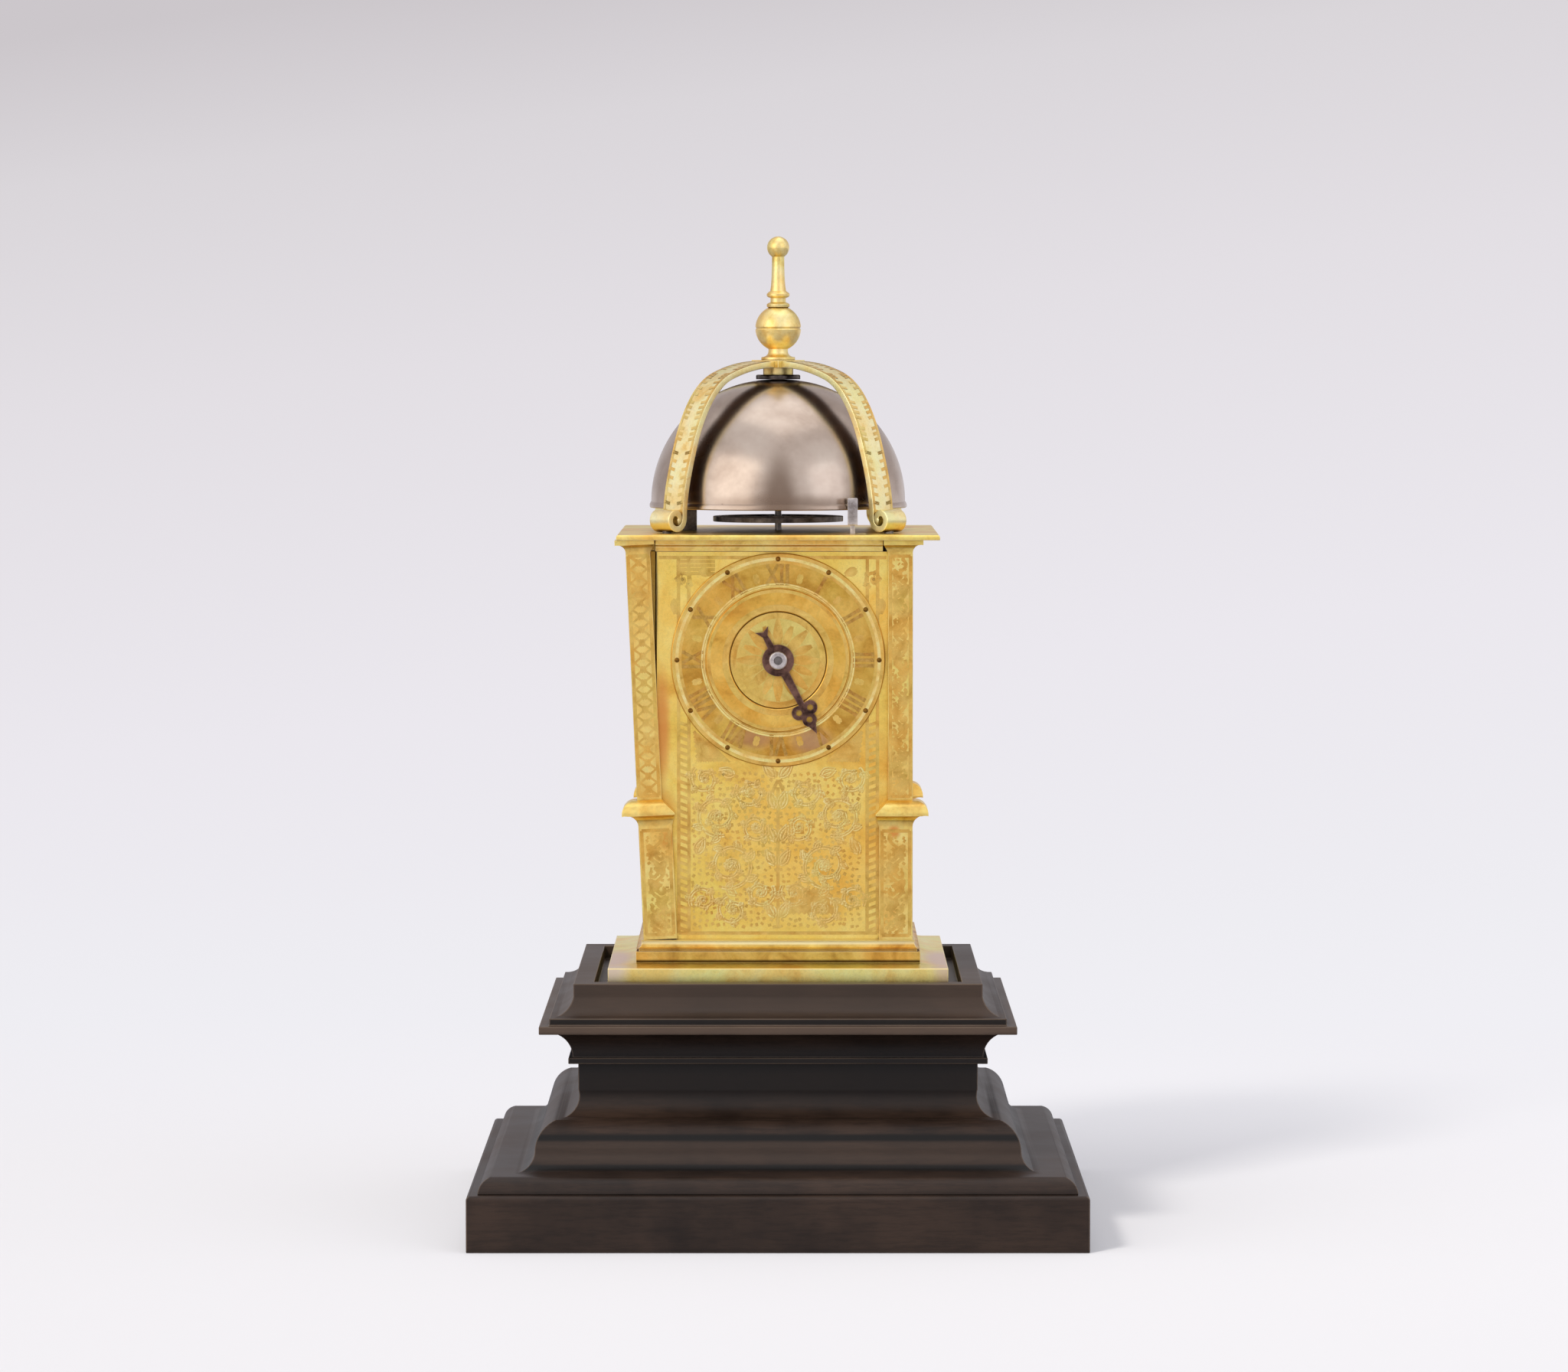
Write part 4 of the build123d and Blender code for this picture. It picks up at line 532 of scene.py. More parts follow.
def flower(u, v, count, start, length, fullness, width, out=0.0):
    # leaves all round a point, from the given distance outwards
    lines = []
    for k in range(count):
        heading = start + 360 / count * k
        lines += leaf(u + out * sin(radians(heading)), v + out * cos(radians(heading)), heading, length, fullness,
                      width)
    return lines


def scroll(u, v, radius, start, turns, hand, width, leaves=7, core=0.16):
    # vine that winds in from its outer end to a small flower, with leaves on the outside
    steps = int(26 * turns)
    stem = []
    for k in range(steps + 1):
        share = k / steps
        angle = radians(start + hand * 360 * turns * share)
        reach = radius * (1 - share) ** 0.85 + core * radius * share
        stem.append((u + reach * sin(angle), v + reach * cos(angle)))
    lines = [taper(stem, width, 0.5)]
    for k in range(leaves):
        share = (k + 0.5) / leaves * 0.8
        here = stem[int(share * steps)]
        angle = start + hand * 360 * turns * share
        size = radius * (0.46 - 0.26 * share)
        lines += leaf(*here, angle + hand * 48, size, 0.3, 0.75 * width)
        if k % 2 == 0 and share < 0.55:
            lines += leaf(*here, angle + hand * 140, 0.7 * size, 0.3, 0.7 * width)
    return lines + flower(u, v, 5, start, core * radius * 1.5, 0.42, 0.7 * width)


def vine(u, low, high, sway, wave, width):
    # stem that swings from side to side as it climbs, a leaf and a curl in every bend
    steps = max(8, int((high - low) / 0.8))
    rise = [(high - low) * k / steps for k in range(steps + 1)]
    lines = [taper([(u + sway * sin(2 * pi * climb / wave), low + climb) for climb in rise], width, 0.6)]
    for k in range(int((high - low) / (wave / 2))):
        height = low + (k + 0.5) * wave / 2
        if height > high - 1:
            break
        side = 1 if k % 2 == 0 else -1
        lines += leaf(u + side * sway, height, -side * 60, 1.5 * sway, 0.34, 0.8 * width)
        lines += leaf(u + side * sway * 0.6, height + wave * 0.1, side * 30, 1.1 * sway, 0.34, 0.8 * width)
        lines.append(ring(u - side * sway * 0.55, height - wave * 0.05, 0.45 * sway, 0.7 * width, 10, 90 * side,
                          260 * side))
    return lines


def hatch(corners, heading, pitch, width):
    # parallel cuts that fill a convex shape
    along = Vector((sin(radians(heading)), cos(radians(heading))))
    aside = Vector((along.y, -along.x))
    reach = [Vector(c).dot(aside) for c in corners]
    lines = []
    offset = min(reach) + pitch / 2
    while offset < max(reach):
        cuts = []
        for a, b in zip(corners, corners[1:] + corners[:1]):
            da, db = Vector(a).dot(aside) - offset, Vector(b).dot(aside) - offset
            if da * db < 0:
                cuts.append(Vector(a).lerp(Vector(b), da / (da - db)))
        if len(cuts) == 2:
            lines.append(taper([tuple(cuts[0].lerp(cuts[1], t)) for t in (0.02, 0.35, 0.65, 0.98)], width))
        offset += pitch
    return lines


def ladder(u0, u1, low, high, pitch, width):
    # border of two lines with slanting cuts between
    lines = [straight(u0, low, u0, high, width, 6), straight(u1, low, u1, high, width, 6)]
    count = int((high - low) / pitch)
    for k in range(count):
        height = low + (k + 0.5) * (high - low) / count
        lines.append(taper([(u0 + (u1 - u0) * t, height + 0.25 * pitch * (2 * t - 1)) for t in (0.12, 0.5, 0.88)],
                           1.5 * width))
    return lines


def border(u0, u1, low, high, width, across, up):
    # a frame of four lines, in the given numbers of steps
    lines = [straight(u, low, u, high, width, up) for u in (u0, u1)]
    return lines + [straight(u0, v, u1, v, width, across) for v in (low, high)]


def dabs(left, right, low, high, pitch, length, width, seed):
    loose = random.Random(seed)
    lines = []
    for row in range(int((high - low) / pitch)):
        for column in range(int((right - left) / pitch)):
            u = left + (column + 0.2 + 0.6 * loose.random()) * pitch
            v = low + (row + 0.2 + 0.6 * loose.random()) * pitch
            heading = radians(loose.choice((20, 65, 110, 155)) + 20 * loose.random())
            reach = length * (0.6 + 0.6 * loose.random())
            lines.append(taper([(u + reach * (t - 0.5) * sin(heading), v + reach * (t - 0.5) * cos(heading))
                                for t in (0, 0.5, 1)], width, 0.5))
    return lines


sides = {"front": (0, -1), "back": (0, 1), "right": (1, 0), "left": (-1, 0)}


def laid(lines, side, face):
    # strokes on a side of the clock, on the face that far from the middle: u runs to the right, v is the height
    x, y = sides[side]
    return [[((face * x - u * y, face * y + u * x, v), (x, y, 0), width) for u, v, width in line] for line in lines]


# Dial: numerals, rings and the engraved centre
dial = {"numeralLow": 23.1, "numeralHigh": 28.5, "thick": 0.8, "hair": 0.3, "step": 1.7, "leafCircle": 25.3,
        "studCircle": 30.5, "ringBore": 14.6}
chapterLow, chapterHigh = lowOf("chapter_disc"), highOf("chapter_disc")
ringLow, ringHigh = lowOf("dial_ring"), highOf("dial_ring")
centreLow, centreHigh = lowOf("dial_centre"), highOf("dial_centre")
dialHeight = (chapterLow.z + chapterHigh.z) / 2
arborRadius = (highOf("hour_arbor").x - lowOf("hour_arbor").x) / 2 + 0.05
# what is turned round Z is stood up at the dial, so that it faces the front
onDial = Matrix.Translation((0, 0, dialHeight * mm)) @ Matrix.Rotation(radians(90), 4, "X")


def step(face, back, inner, outer, ease, steps=5):
    # ring profile whose front corners are rounded; the turning axis points out of the dial
    turns = [pi / 2 * k / steps for k in range(steps + 1)]
    profile = [(outer, -back)]
    profile += [(outer - ease + ease * cos(turn), -face - ease + ease * sin(turn)) for turn in turns]
    profile += [(inner + ease - ease * sin(turn), -face - ease + ease * cos(turn)) for turn in turns]
    return profile + [(inner, -back), (outer, -back)]


for node, low, high, bore, ease, finish in (
        ("chapter_disc", chapterLow, chapterHigh, arborRadius, 0.4, "fireGiltDial"),
        ("dial_ring", ringLow, ringHigh, dial["ringBore"], 0.55, "fireGiltRing"),
        ("dial_centre", centreLow, centreHigh, arborRadius, 0.25, "fireGiltSun")):
    turnedPiece(node, step(low.y, high.y, bore, high.x, ease), 144, finish, onDial)

# Each figure has its width, its strokes from one (side, height) to another and its serifs
numerals = ("I", "II", "III", "IIII", "V", "VI", "VII", "VIII", "IX", "X", "XI", "XII")
glyphs = {
    "I": {"wide": 1.0, "strokes": (("thick", 0, 0, 0, 1),), "serifs": ((0, 0), (0, 1)), "serif": 0.62},
    "V": {"wide": 2.3, "strokes": (("thick", -1, 1, 0, 0), ("hair", 1, 1, 0, 0)), "serifs": ((-1, 1), (1, 1)),
          "serif": 0.5},
    "X": {"wide": 2.3, "strokes": (("thick", -1, 1, 1, 0), ("hair", 1, 1, -1, 0)),
          "serifs": ((-1, 0), (1, 0), (-1, 1), (1, 1)), "serif": 0.5},
}


def numeralLines(text):
    # drawn upright round the middle of the numeral
    low, tall = dial["numeralLow"], dial["numeralHigh"] - dial["numeralLow"]
    left = -sum(glyphs[c]["wide"] for c in text) / 2 * dial["step"]
    lines = []
    for c in text:
        glyph = glyphs[c]
        wide = glyph["wide"] * dial["step"]
        middle, lean, serif = left + wide / 2, wide / 2 - 0.45, glyph["serif"]
        for weight, u0, v0, u1, v1 in glyph["strokes"]:
            lines.append(straight(middle + u0 * lean, low + v0 * tall, middle + u1 * lean, low + v1 * tall,
                                  dial[weight], 3))
        for u, v in glyph["serifs"]:
            foot, height = middle + u * lean, low + v * tall
            lines.append(straight(foot - serif, height, foot + serif, height, dial["hair"], 2))
        left += wide
    return lines


def engraveDial(name, lines, node, face, finish="engravedGroove"):
    raised = [[(u, v + dialHeight, width) for u, v, width in line] for line in lines]
    engrave(name, laid(raised, "front", -face), node, finish)


dialLines, numeralCuts = [], []
for hour, text in enumerate(numerals, start=1):
    turn, half = radians(30 * hour), radians(30 * hour + 15)
    for line in numeralLines(text):
        numeralCuts.append([(u * cos(turn) + v * sin(turn), -u * sin(turn) + v * cos(turn), w) for u, v, w in line])
    for heading in (30 * hour + 195, 30 * hour + 15):
        dialLines += leaf(dial["leafCircle"] * sin(half), dial["leafCircle"] * cos(half), heading, 1.3, 0.42, 0.32)
for radius, width in ((22.2, 0.36), (29.6, 0.3), (31.5, 0.26)):
    dialLines.append(ring(0, 0, radius, width, 144))
rimLines = [ring(0, 0, dial["studCircle"], 0.9, 144), ring(0, 0, 22.7, 0.4, 120)]
engraveDial("chapter_engraving", dialLines, "chapter_disc", chapterLow.y)
engraveDial("chapter_rim", rimLines, "chapter_disc", chapterLow.y, "burnishedLine")
engraveDial("chapter_numerals", numeralCuts, "chapter_disc", chapterLow.y, "numeralWax")

ringLines = [ring(0, 0, radius, 0.26, 120) for radius in (15.5, 16.3, 20.9)]
engraveDial("dial_ring_engraving", ringLines, "dial_ring", ringLow.y)
centreLines = [ring(0, 0, 13.9, 0.3, 96), ring(0, 0, 13.1, 0.22, 96)]
centreLines += flower(0, 0, 8, 0, 8.0, 0.14, 0.24, 4.4) + flower(0, 0, 8, 22.5, 5.6, 0.14, 0.24, 5.4)
engraveDial("dial_centre_engraving", centreLines, "dial_centre", centreLow.y)
print("dial made")

# Touch studs, one at each hour, so that the time can be felt in the dark
studs = {"count": 12, "circle": dial["studCircle"], "flatness": 0.78}
studs["radius"] = (highOf("touch_studs").x - lowOf("touch_studs").x) / 2 - studs["circle"]


def studTree():
    tree, given = startTree("touchStuds", Count="Int", Circle="Float", Radius="Float")
    circle = addNode(tree, "GeometryNodeMeshCircle", {"Vertices": given["Count"], "Radius": given["Circle"]})
    dome = addNode(tree, "GeometryNodeMeshUVSphere", {"Segments": 20, "Rings": 12, "Radius": given["Radius"]})
    flat = addNode(tree, "GeometryNodeTransform", {"Geometry": dome, "Scale": (1.0, 1.0, studs["flatness"])})
    placed = addNode(tree, "GeometryNodeInstanceOnPoints", {
        "Points": circle, "Instance": addNode(tree, "GeometryNodeSetShadeSmooth", {"Geometry": flat})})
    return endTree(tree, given, placed)


studPiece = bakedPiece("touch_studs_shell", lineCarrier("studCarrier", []), studTree(), {
    "Count": studs["count"], "Circle": studs["circle"] * mm, "Radius": studs["radius"] * mm,
    "Metal": finishes["wornStudBrass"]}, "touch_studs", ("touch_studs",))
studPiece.data.transform(Matrix.Translation((0, chapterLow.y * mm, 0)) @ onDial)

# Hand and its collet
easedPiece("hour_hand", 0.16, "brownedHand")
easedPiece("hand_collet", 0.12, "handPin")

# Engraved front: ladder borders, cross-cut corners round the dial, foliage that is deepest just below the dial
# and worn away towards the foot, on a ground of short slanting dabs
panel = {"low": 89.6, "high": 154.0, "top": 203.2, "side": 26.9, "border": 3.1, "line": 0.26, "rung": 2.2,
         "highlightShift": 0.24}
plateFace = -lowOf("front_plate").y


def thinned(lines, low, high, least):
    # the width of each cut falls off towards the worn foot of the plate
    return [[(u, v, w * min(1.0, max(least, least + (1 - least) * (v - low) / (high - low)))) for u, v, w in line]
            for line in lines]


frontLines = []
for side in (-1, 1):
    inner, outer = side * panel["side"], side * (panel["side"] + panel["border"])
    frontLines += ladder(inner, outer, panel["low"], panel["high"], panel["rung"], panel["line"])
    frontLines += [straight(u, panel["high"], u, panel["top"], panel["line"], 10) for u in (inner, outer)]
frontLines.append(straight(-30.0, panel["low"], 30.0, panel["low"], panel["line"], 8))
frontLines.append(straight(-36.0, panel["top"], 32.6, panel["top"], panel["line"], 8))
quarter = []
for vineScroll in ((18.2, 125.0, 6.4, 200, 1.6, -1, 0.32, 9), (8.2, 132.2, 4.6, 60, 1.4, 1, 0.34, 7),
                   (6.6, 121.6, 4.2, 250, 1.4, -1, 0.3, 6), (22.0, 136.2, 4.4, 40, 1.3, 1, 0.32, 6),
                   (14.4, 110.0, 7.2, 160, 1.6, 1, 0.3, 9), (5.2, 101.6, 4.4, 300, 1.3, -1, 0.28, 6),
                   (22.6, 99.6, 4.0, 120, 1.3, -1, 0.28, 6), (13.6, 96.4, 4.6, 20, 1.3, 1, 0.28, 6)):
    quarter += scroll(*vineScroll)
for foot, heading in ((117.4, 24), (110.2, 30), (94.4, 28), (127.4, 18), (136.8, 40)):
    quarter += leaf(0.9, foot, heading, 5.2, 0.24, 0.28)
quarter += leaf(24.4, 113.6, -24, 5.2, 0.26, 0.28) + leaf(13.2, 137.4, 70, 4.6, 0.3, 0.3)
quarter += mirrored(quarter)
foliage = quarter + leaf(0, 128.6, 0, 7.4, 0.26, 0.32)
foliage.append(taper([(0, 91.0 + 2.2 * k) for k in range(18)], 0.32, 0.6))
foliage += dabs(-26.2, 26.2, 91.0, 140.0, 1.9, 0.9, 0.16, 5)
frontLines += thinned(foliage, 92.0, 128.0, 0.55)
for heading, pitch, width in ((40, 1.1, 0.2), (-42, 1.3, 0.18)):
    frontLines += hatch([(2.4, 95.4), (17.0, 95.4), (15.2, 103.2), (4.6, 103.2)], heading, pitch, width)
corner = scroll(28.8, 196.6, 2.6, 200, 1.2, 1, 0.26, 5)
for heading in (45, -45):
    corner += hatch([(14.4, 141.6), (24.6, 141.6), (25.6, 151.4), (20.6, 147.2)], heading, 1.1, 0.18)
corner += leaf(23.6, 199.4, 250, 3.6, 0.3, 0.26) + leaf(31.0, 190.6, 180, 4.4, 0.26, 0.26)
frontLines += corner + mirrored(corner)
frontLines += [straight(-30.6, v, -19.0, v, 0.24, 4) for v in (198.4, 199.6, 200.8, 202.0)]
engrave("front_engraving", laid(frontLines, "front", plateFace), "front_plate")
# painted highlights: a paler, thinner copy of each foliage cut, moved up and to the left, for the light on the
# cut's edge
frontGrooveHighlights = [[(u - panel["highlightShift"], v + panel["highlightShift"], 0.7 * w) for u, v, w in line]
              for line in thinned(quarter, 92, 128, 0.4)]
engrave("front_groove_highlights", laid(frontGrooveHighlights, "front", plateFace), "front_plate", "burnishedLine")
print("front engraved")

# Pilaster faces: a climbing vine or a net of lozenges between two lines on the shaft, a vine on the dado. The
# front left pilaster leans, so its drawing is turned about the same foot line
pilaster = {"case": 40.6, "dadoIn": 30.5, "shaftIn": 33.2, "dadoLow": 87.7, "dadoHigh": 121.9, "shaftLow": 130.0,
            "shaftHigh": 204.7, "lean": 2.6}
shaftRun = (pilaster["shaftIn"], pilaster["case"], pilaster["shaftLow"] + 1.2, pilaster["shaftHigh"] - 1.0)
dadoRun = (pilaster["dadoIn"], pilaster["case"], pilaster["dadoLow"] + 1.4, pilaster["dadoHigh"] - 1.2)


def shaftLines(inner, outer, low, high):
    lines = vine((inner + outer) / 2, low + 0.6, high - 0.8, 1.7, 8.4, 0.22)
    lines += border(inner + 0.7, outer - 0.7, low, high, 0.24, 2, 8)
    return lines + dabs(inner + 1, outer - 1, low, high, 1.5, 0.8, 0.15, 3)


def netLines(inner, outer, low, high):
    left, right = inner + 1.2, outer - 1.2
    count = 2 * int((high - low) / 7.4)
    pitch = (high - low) / count
    lines = [[(left if (k + turn) % 2 == 0 else right, low + k * pitch, 0.26) for k in range(count + 1)]
             for turn in (0, 1)]
    for k in range(count):
        lines += leaf((left + right) / 2, low + (k + 0.5) * pitch - 0.9, 0, 1.8, 0.3, 0.24)
    return lines + border(inner + 0.7, outer - 0.7, low, high, 0.24, 2, 8)


def dadoLines(inner, outer, low, high):
    lines = border(inner + 0.9, outer - 0.9, low, high, 0.24, 2, 6)
    lines += dabs(inner + 1.2, outer - 1.2, low, high, 1.7, 0.9, 0.14, 4)
    return lines + vine((inner + outer) / 2, low + 0.6, high - 0.8, 2.1, 10.5, 0.22)


vinePair = shaftLines(*shaftRun) + dadoLines(*dadoRun)
netPair = netLines(*shaftRun) + dadoLines(*dadoRun)
lean = Matrix.Rotation(radians(-pilaster["lean"]), 4, "Y")
footLine = Vector((-pilaster["case"], 0, pilaster["dadoLow"]))


def leaned(strokes):
    return [[(lean @ (Vector(point) - footLine) + footLine, lean.to_3x3() @ Vector(facing), width)
             for point, facing, width in stroke] for stroke in strokes]


for end in ("front", "back"):
    for flank in ("left", "right"):
        node = "pilaster_" + end + "_" + flank
        netted = (end == "front") == (flank == "left")
        strokes = laid(mirrored(netPair) if netted else vinePair, end, pilaster["case"])
        strokes += laid(vinePair if netted else mirrored(vinePair), flank, pilaster["case"])
        engrave(node + "_engraving", leaned(strokes) if node == "pilaster_front_left" else strokes, node)

# Side doors and back: the same scrolls, drawn again for their own panels
door = {"low": 90.6, "high": 201.0, "side": 25.6, "line": 0.34}
backPanel = {"low": 90.6, "high": 202.6, "side": 28.6}


def doubleBorder(look, gap):
    side, low, high = look["side"], look["low"], look["high"]
    return [line for inset in (0.0, gap) for line in
            border(inset - side, side - inset, low + inset, high - inset, door["line"], 8, 12)]


half = []
for foot, hand, reach in (
        (105.0, 1, 10.4), (127.4, -1, 10.0), (149.4, 1, 10.2), (171.4, -1, 9.8), (190.6, 1, 7.6)):
    half += scroll(12.6, foot, reach, 200 if hand > 0 else 340, 1.6, hand, 0.4, 9)
    half += leaf(1.0, foot + 6.0, 30, 5.6, 0.26, 0.34) + leaf(23.6, foot + 9.4, -40, 4.0, 0.28, 0.3)
doorLines = doubleBorder(door, 1.1) + half + mirrored(half)
doorLines.append(taper([(0, door["low"] + 3 + 2.2 * k) for k in range(48)], 0.4, 0.6))
engrave("right_door_engraving", laid(doorLines, "right", plateFace), "right_door")
engrave("left_door_engraving", laid(doorLines, "left", plateFace), "left_door")
backLines = doubleBorder(backPanel, 1.2)
for arbor in ("going_arbor", "strike_arbor"):
    height = (lowOf(arbor).z + highOf(arbor).z) / 2
    backLines += [ring(0, height, reach, 0.34, 40) for reach in (4.4, 5.4)]
    backLines += flower(0, height, 12, 0, 3.0, 0.3, 0.3, 5.8)
crest = scroll(10.5, 178.6, 9.6, 200, 1.6, 1, 0.4, 9) + scroll(11.5, 195.0, 5.4, 30, 1.4, -1, 0.36, 7)
backLines += crest + mirrored(crest)
engrave("back_engraving", laid(backLines, "back", highOf("back_plate").y), "back_plate")
print("sides engraved")

# Bell, washer and finial, turned round the upright axis
bellLow, bellHigh = lowOf("bell"), highOf("bell")
bell = {"wall": 1.6, "lip": 0.5, "band": 1.2, "slope": 0.6, "flat": 1.6, "bore": 2.0, "ease": 0.25}
bellRadius = bellHigh.x - bell["lip"]
bellFoot = (bellRadius, bellLow.z + bell["band"] + bell["slope"])
bellProfile = [(bellRadius - bell["wall"], bellLow.z), (bellHigh.x - bell["ease"], bellLow.z),
               (bellHigh.x, bellLow.z + bell["ease"]), (bellHigh.x, bellLow.z + bell["band"] - 0.2),
               (bellRadius + 0.1, bellFoot[1]), bellFoot]
bellProfile += [point for point in domeLine(bellFoot, (bell["flat"], bellHigh.z)) if point[0] > bell["bore"]]
bellProfile += [(bell["bore"], bellHigh.z), (bell["bore"], bellHigh.z - bell["wall"])]
inside = domeLine((bellRadius - bell["wall"], bellLow.z), (0, bellHigh.z - bell["wall"]))
bellProfile += [point for point in inside if point[0] > bell["bore"]][::-1] + [bellProfile[0]]
turnedPiece("bell", bellProfile, 192, "turnedBellMetal")
easedPiece("bell_washer", 0.1, "darkSteel")

finial = {"spool": 5.2, "spoolHeight": 3.4, "neck": 3.0, "ball": 7.0, "groove": 0.3, "collar": 3.5, "waist": 2.35,
          "collarHeight": 5.1, "stemFoot": 2.3, "stemTop": 1.9, "stemHeight": 10.5, "tip": 3.4, "bolt": 1.9}
hubTop = highOf("strap_hub").z
ballHalf = sqrt(finial["ball"] ** 2 - finial["neck"] ** 2)
ballMiddle = hubTop + finial["spoolHeight"] + ballHalf
collarLow = ballMiddle + ballHalf
stemFoot = collarLow + finial["collarHeight"]
tipMiddle = stemFoot + finial["stemHeight"] + sqrt(finial["tip"] ** 2 - finial["stemTop"] ** 2)
spool, collar, waist = finial["spool"], finial["collar"], finial["waist"]
turning = [(0, lowOf("finial").z), (finial["bolt"], lowOf("finial").z), (finial["bolt"], hubTop)]
turning += [(radius, hubTop + rise) for radius, rise in (
    (spool - 0.15, 0), (spool, 0.15), (spool, 0.75), (spool - 0.15, 0.9))]
turning += [(finial["neck"] + 2.05 * (1 - sin(pi / 2 * t / 5)), hubTop + 0.9 + 1.7 * (1 - cos(pi / 2 * t / 5)))
            for t in range(1, 6)]
ballStart = atan2(-ballHalf, finial["neck"])
for k in range(33):
    angle = ballStart - 2 * ballStart * k / 32
    cut = finial["groove"] * max(0.0, 1 - abs(angle) / 0.055)
    turning.append(((finial["ball"] - cut) * cos(angle), ballMiddle + (finial["ball"] - cut) * sin(angle)))
turning += [(radius, collarLow + rise) for radius, rise in (
    (collar - 0.1, 0.2), (collar, 0.4), (collar, 1.0), (collar - 0.3, 1.3), (waist, 1.7), (waist, 2.9),
    (collar - 0.4, 3.2), (collar, 3.6), (collar, 4.2), (collar - 0.35, 4.6),
    (finial["stemFoot"] + 0.15, finial["collarHeight"]))]
turning += [(finial["stemFoot"] + (finial["stemTop"] - finial["stemFoot"]) * k / 6 - 0.12 * sin(pi * k / 6),
             stemFoot + finial["stemHeight"] * k / 6) for k in range(1, 7)]
tipStart = atan2(stemFoot + finial["stemHeight"] - tipMiddle, finial["stemTop"])
tipTurns = [tipStart + (pi / 2 - tipStart) * k / 16 for k in range(1, 16)]
turning += [(finial["tip"] * cos(turn), tipMiddle + finial["tip"] * sin(turn)) for turn in tipTurns]
turning.append((0, tipMiddle + finial["tip"]))
turnedPiece("finial", turning, 96, "fireGiltKnop")
print("bell and finial made")

# Straps: a flat band bent over the bell, rolled up at the foot into a scroll
strap = {"width": 8.4, "thick": 2.0, "ease": 0.3, "scroll": 4.4, "flat": 0.15, "curl": 2.35, "rollSteps": 34,
         "hub": 5.4, "lean": 1.4, "knots": ((0.563, 0.93), (0.763, 0.798), (0.925, 0.525)), "edge": 0.5,
         "cutEnd": 1.5, "firstCut": 1.6, "cutPitch": 2.2}
topFace = highOf("top_plate").z
crown = highOf("strap_back_right").z - strap["thick"] / 2 - topFace
scrollReach = highOf("strap_back_right").x * sqrt(2) - strap["width"] / 2 - strap["scroll"]
scrollMiddle = strap["scroll"] - strap["flat"]
bandLine = scrollReach - strap["scroll"] + strap["thick"] / 2
stand = bandLine - strap["lean"]


def smoothPath(knots, ends, steps):
    # Hermite pieces through the knots, with the two end directions given
    slopes = [(after - before).normalized() for before, after in zip(knots, knots[2:])]
    slopes = [Vector(ends[0])] + slopes + [Vector(ends[1])]
    path = []
    for a, b, leaving, coming in zip(knots, knots[1:], slopes, slopes[1:]):
        span = (b - a).length
        for t in [n / steps for n in range(steps)]:
            path.append(a * (2 * t ** 3 - 3 * t ** 2 + 1) + leaving * span * (t ** 3 - 2 * t ** 2 + t)
                        + b * (-2 * t ** 3 + 3 * t ** 2) + coming * span * (t ** 3 - t ** 2))
    return path + [knots[-1]]


knots = [Vector((strap["hub"], crown))]
knots += [Vector((reach * stand, rise * crown)) for reach, rise in strap["knots"]]
knots.append(Vector((bandLine, scrollMiddle)))
band = smoothPath(knots, ((1, 0), (0, -1)), 9)
roll = []
for k in range(1, strap["rollSteps"] + 1):
    curled = strap["curl"] * k / strap["rollSteps"]
    angle, reach = pi + pi * curled, strap["scroll"] - strap["thick"] / 2 - curled
    roll.append(Vector((scrollReach + reach * cos(angle), scrollMiddle + reach * sin(angle))))


def strapTree():
    tree, given = startTree("bentBand", Width="Float", Thickness="Float", Ease="Float", Across="Vector")
    line = addNode(tree, "GeometryNodeMeshToCurve", {"Mesh": given["Geometry"]})
    held = addNode(tree, "GeometryNodeSetCurveNormal", {"Curve": line, "Normal": given["Across"]}, mode="FREE")
    section = addNode(tree, "GeometryNodeCurvePrimitiveQuadrilateral", {
        "Width": given["Width"], "Height": given["Thickness"]})
    eased = addNode(tree, "GeometryNodeFilletCurve", {
        "Curve": section, "Count": 2, "Radius": given["Ease"]}, mode="POLY")
    return endTree(tree, given, addNode(tree, "GeometryNodeCurveToMesh", {
        "Curve": held, "Profile Curve": eased, "Fill Caps": True}))


def strapStrokes(along, across):
    # short cuts slant in from both edges, between two long lines
    up = Vector((0, 0, 1))
    edge = strap["width"] / 2 - strap["edge"]
    strokes, edgeLines, run, nextCut = [], ([], []), 0.0, strap["firstCut"]
    for before, here in zip(band, band[1:]):
        heading = (here - before).normalized()
        way = along * heading.x + up * heading.y
        facing = up * heading.x - along * heading.y
        middle = along * here.x + up * (topFace + here.y) + facing * strap["thick"] / 2
        run += (here - before).length
        while run > nextCut:
            for side in (-1, 1):
                outer, inner = side * edge, side * strap["cutEnd"]
                strokes.append([(middle + across * (outer + (inner - outer) * t) + way * 0.5 * t, facing, width)
                                for t, width in ((0, 0.34), (0.5, 0.28), (1, 0.1))])
            nextCut += strap["cutPitch"]
        for side, line in zip((-1, 1), edgeLines):
            line.append((middle + across * side * edge, facing, 0.2))
    return strokes + list(edgeLines)


def paintShadeInside(piece):
    # painted shade: the faces that look at the bell are given a dark brown gilding
    work = bmesh.new()
    work.from_mesh(piece.data)
    bmesh.ops.recalc_face_normals(work, faces=work.faces)
    for face in work.faces:
        middle = face.calc_center_median()
        toHeart = (Vector((0, 0, topFace * mm)) - middle).normalized()
        if face.normal.dot(toHeart) > 0.7 and middle.z > (topFace + 9) * mm:
            face.material_index = 1
    work.to_mesh(piece.data)
    work.free()
    piece.data.materials.append(finishes["strapInside"])


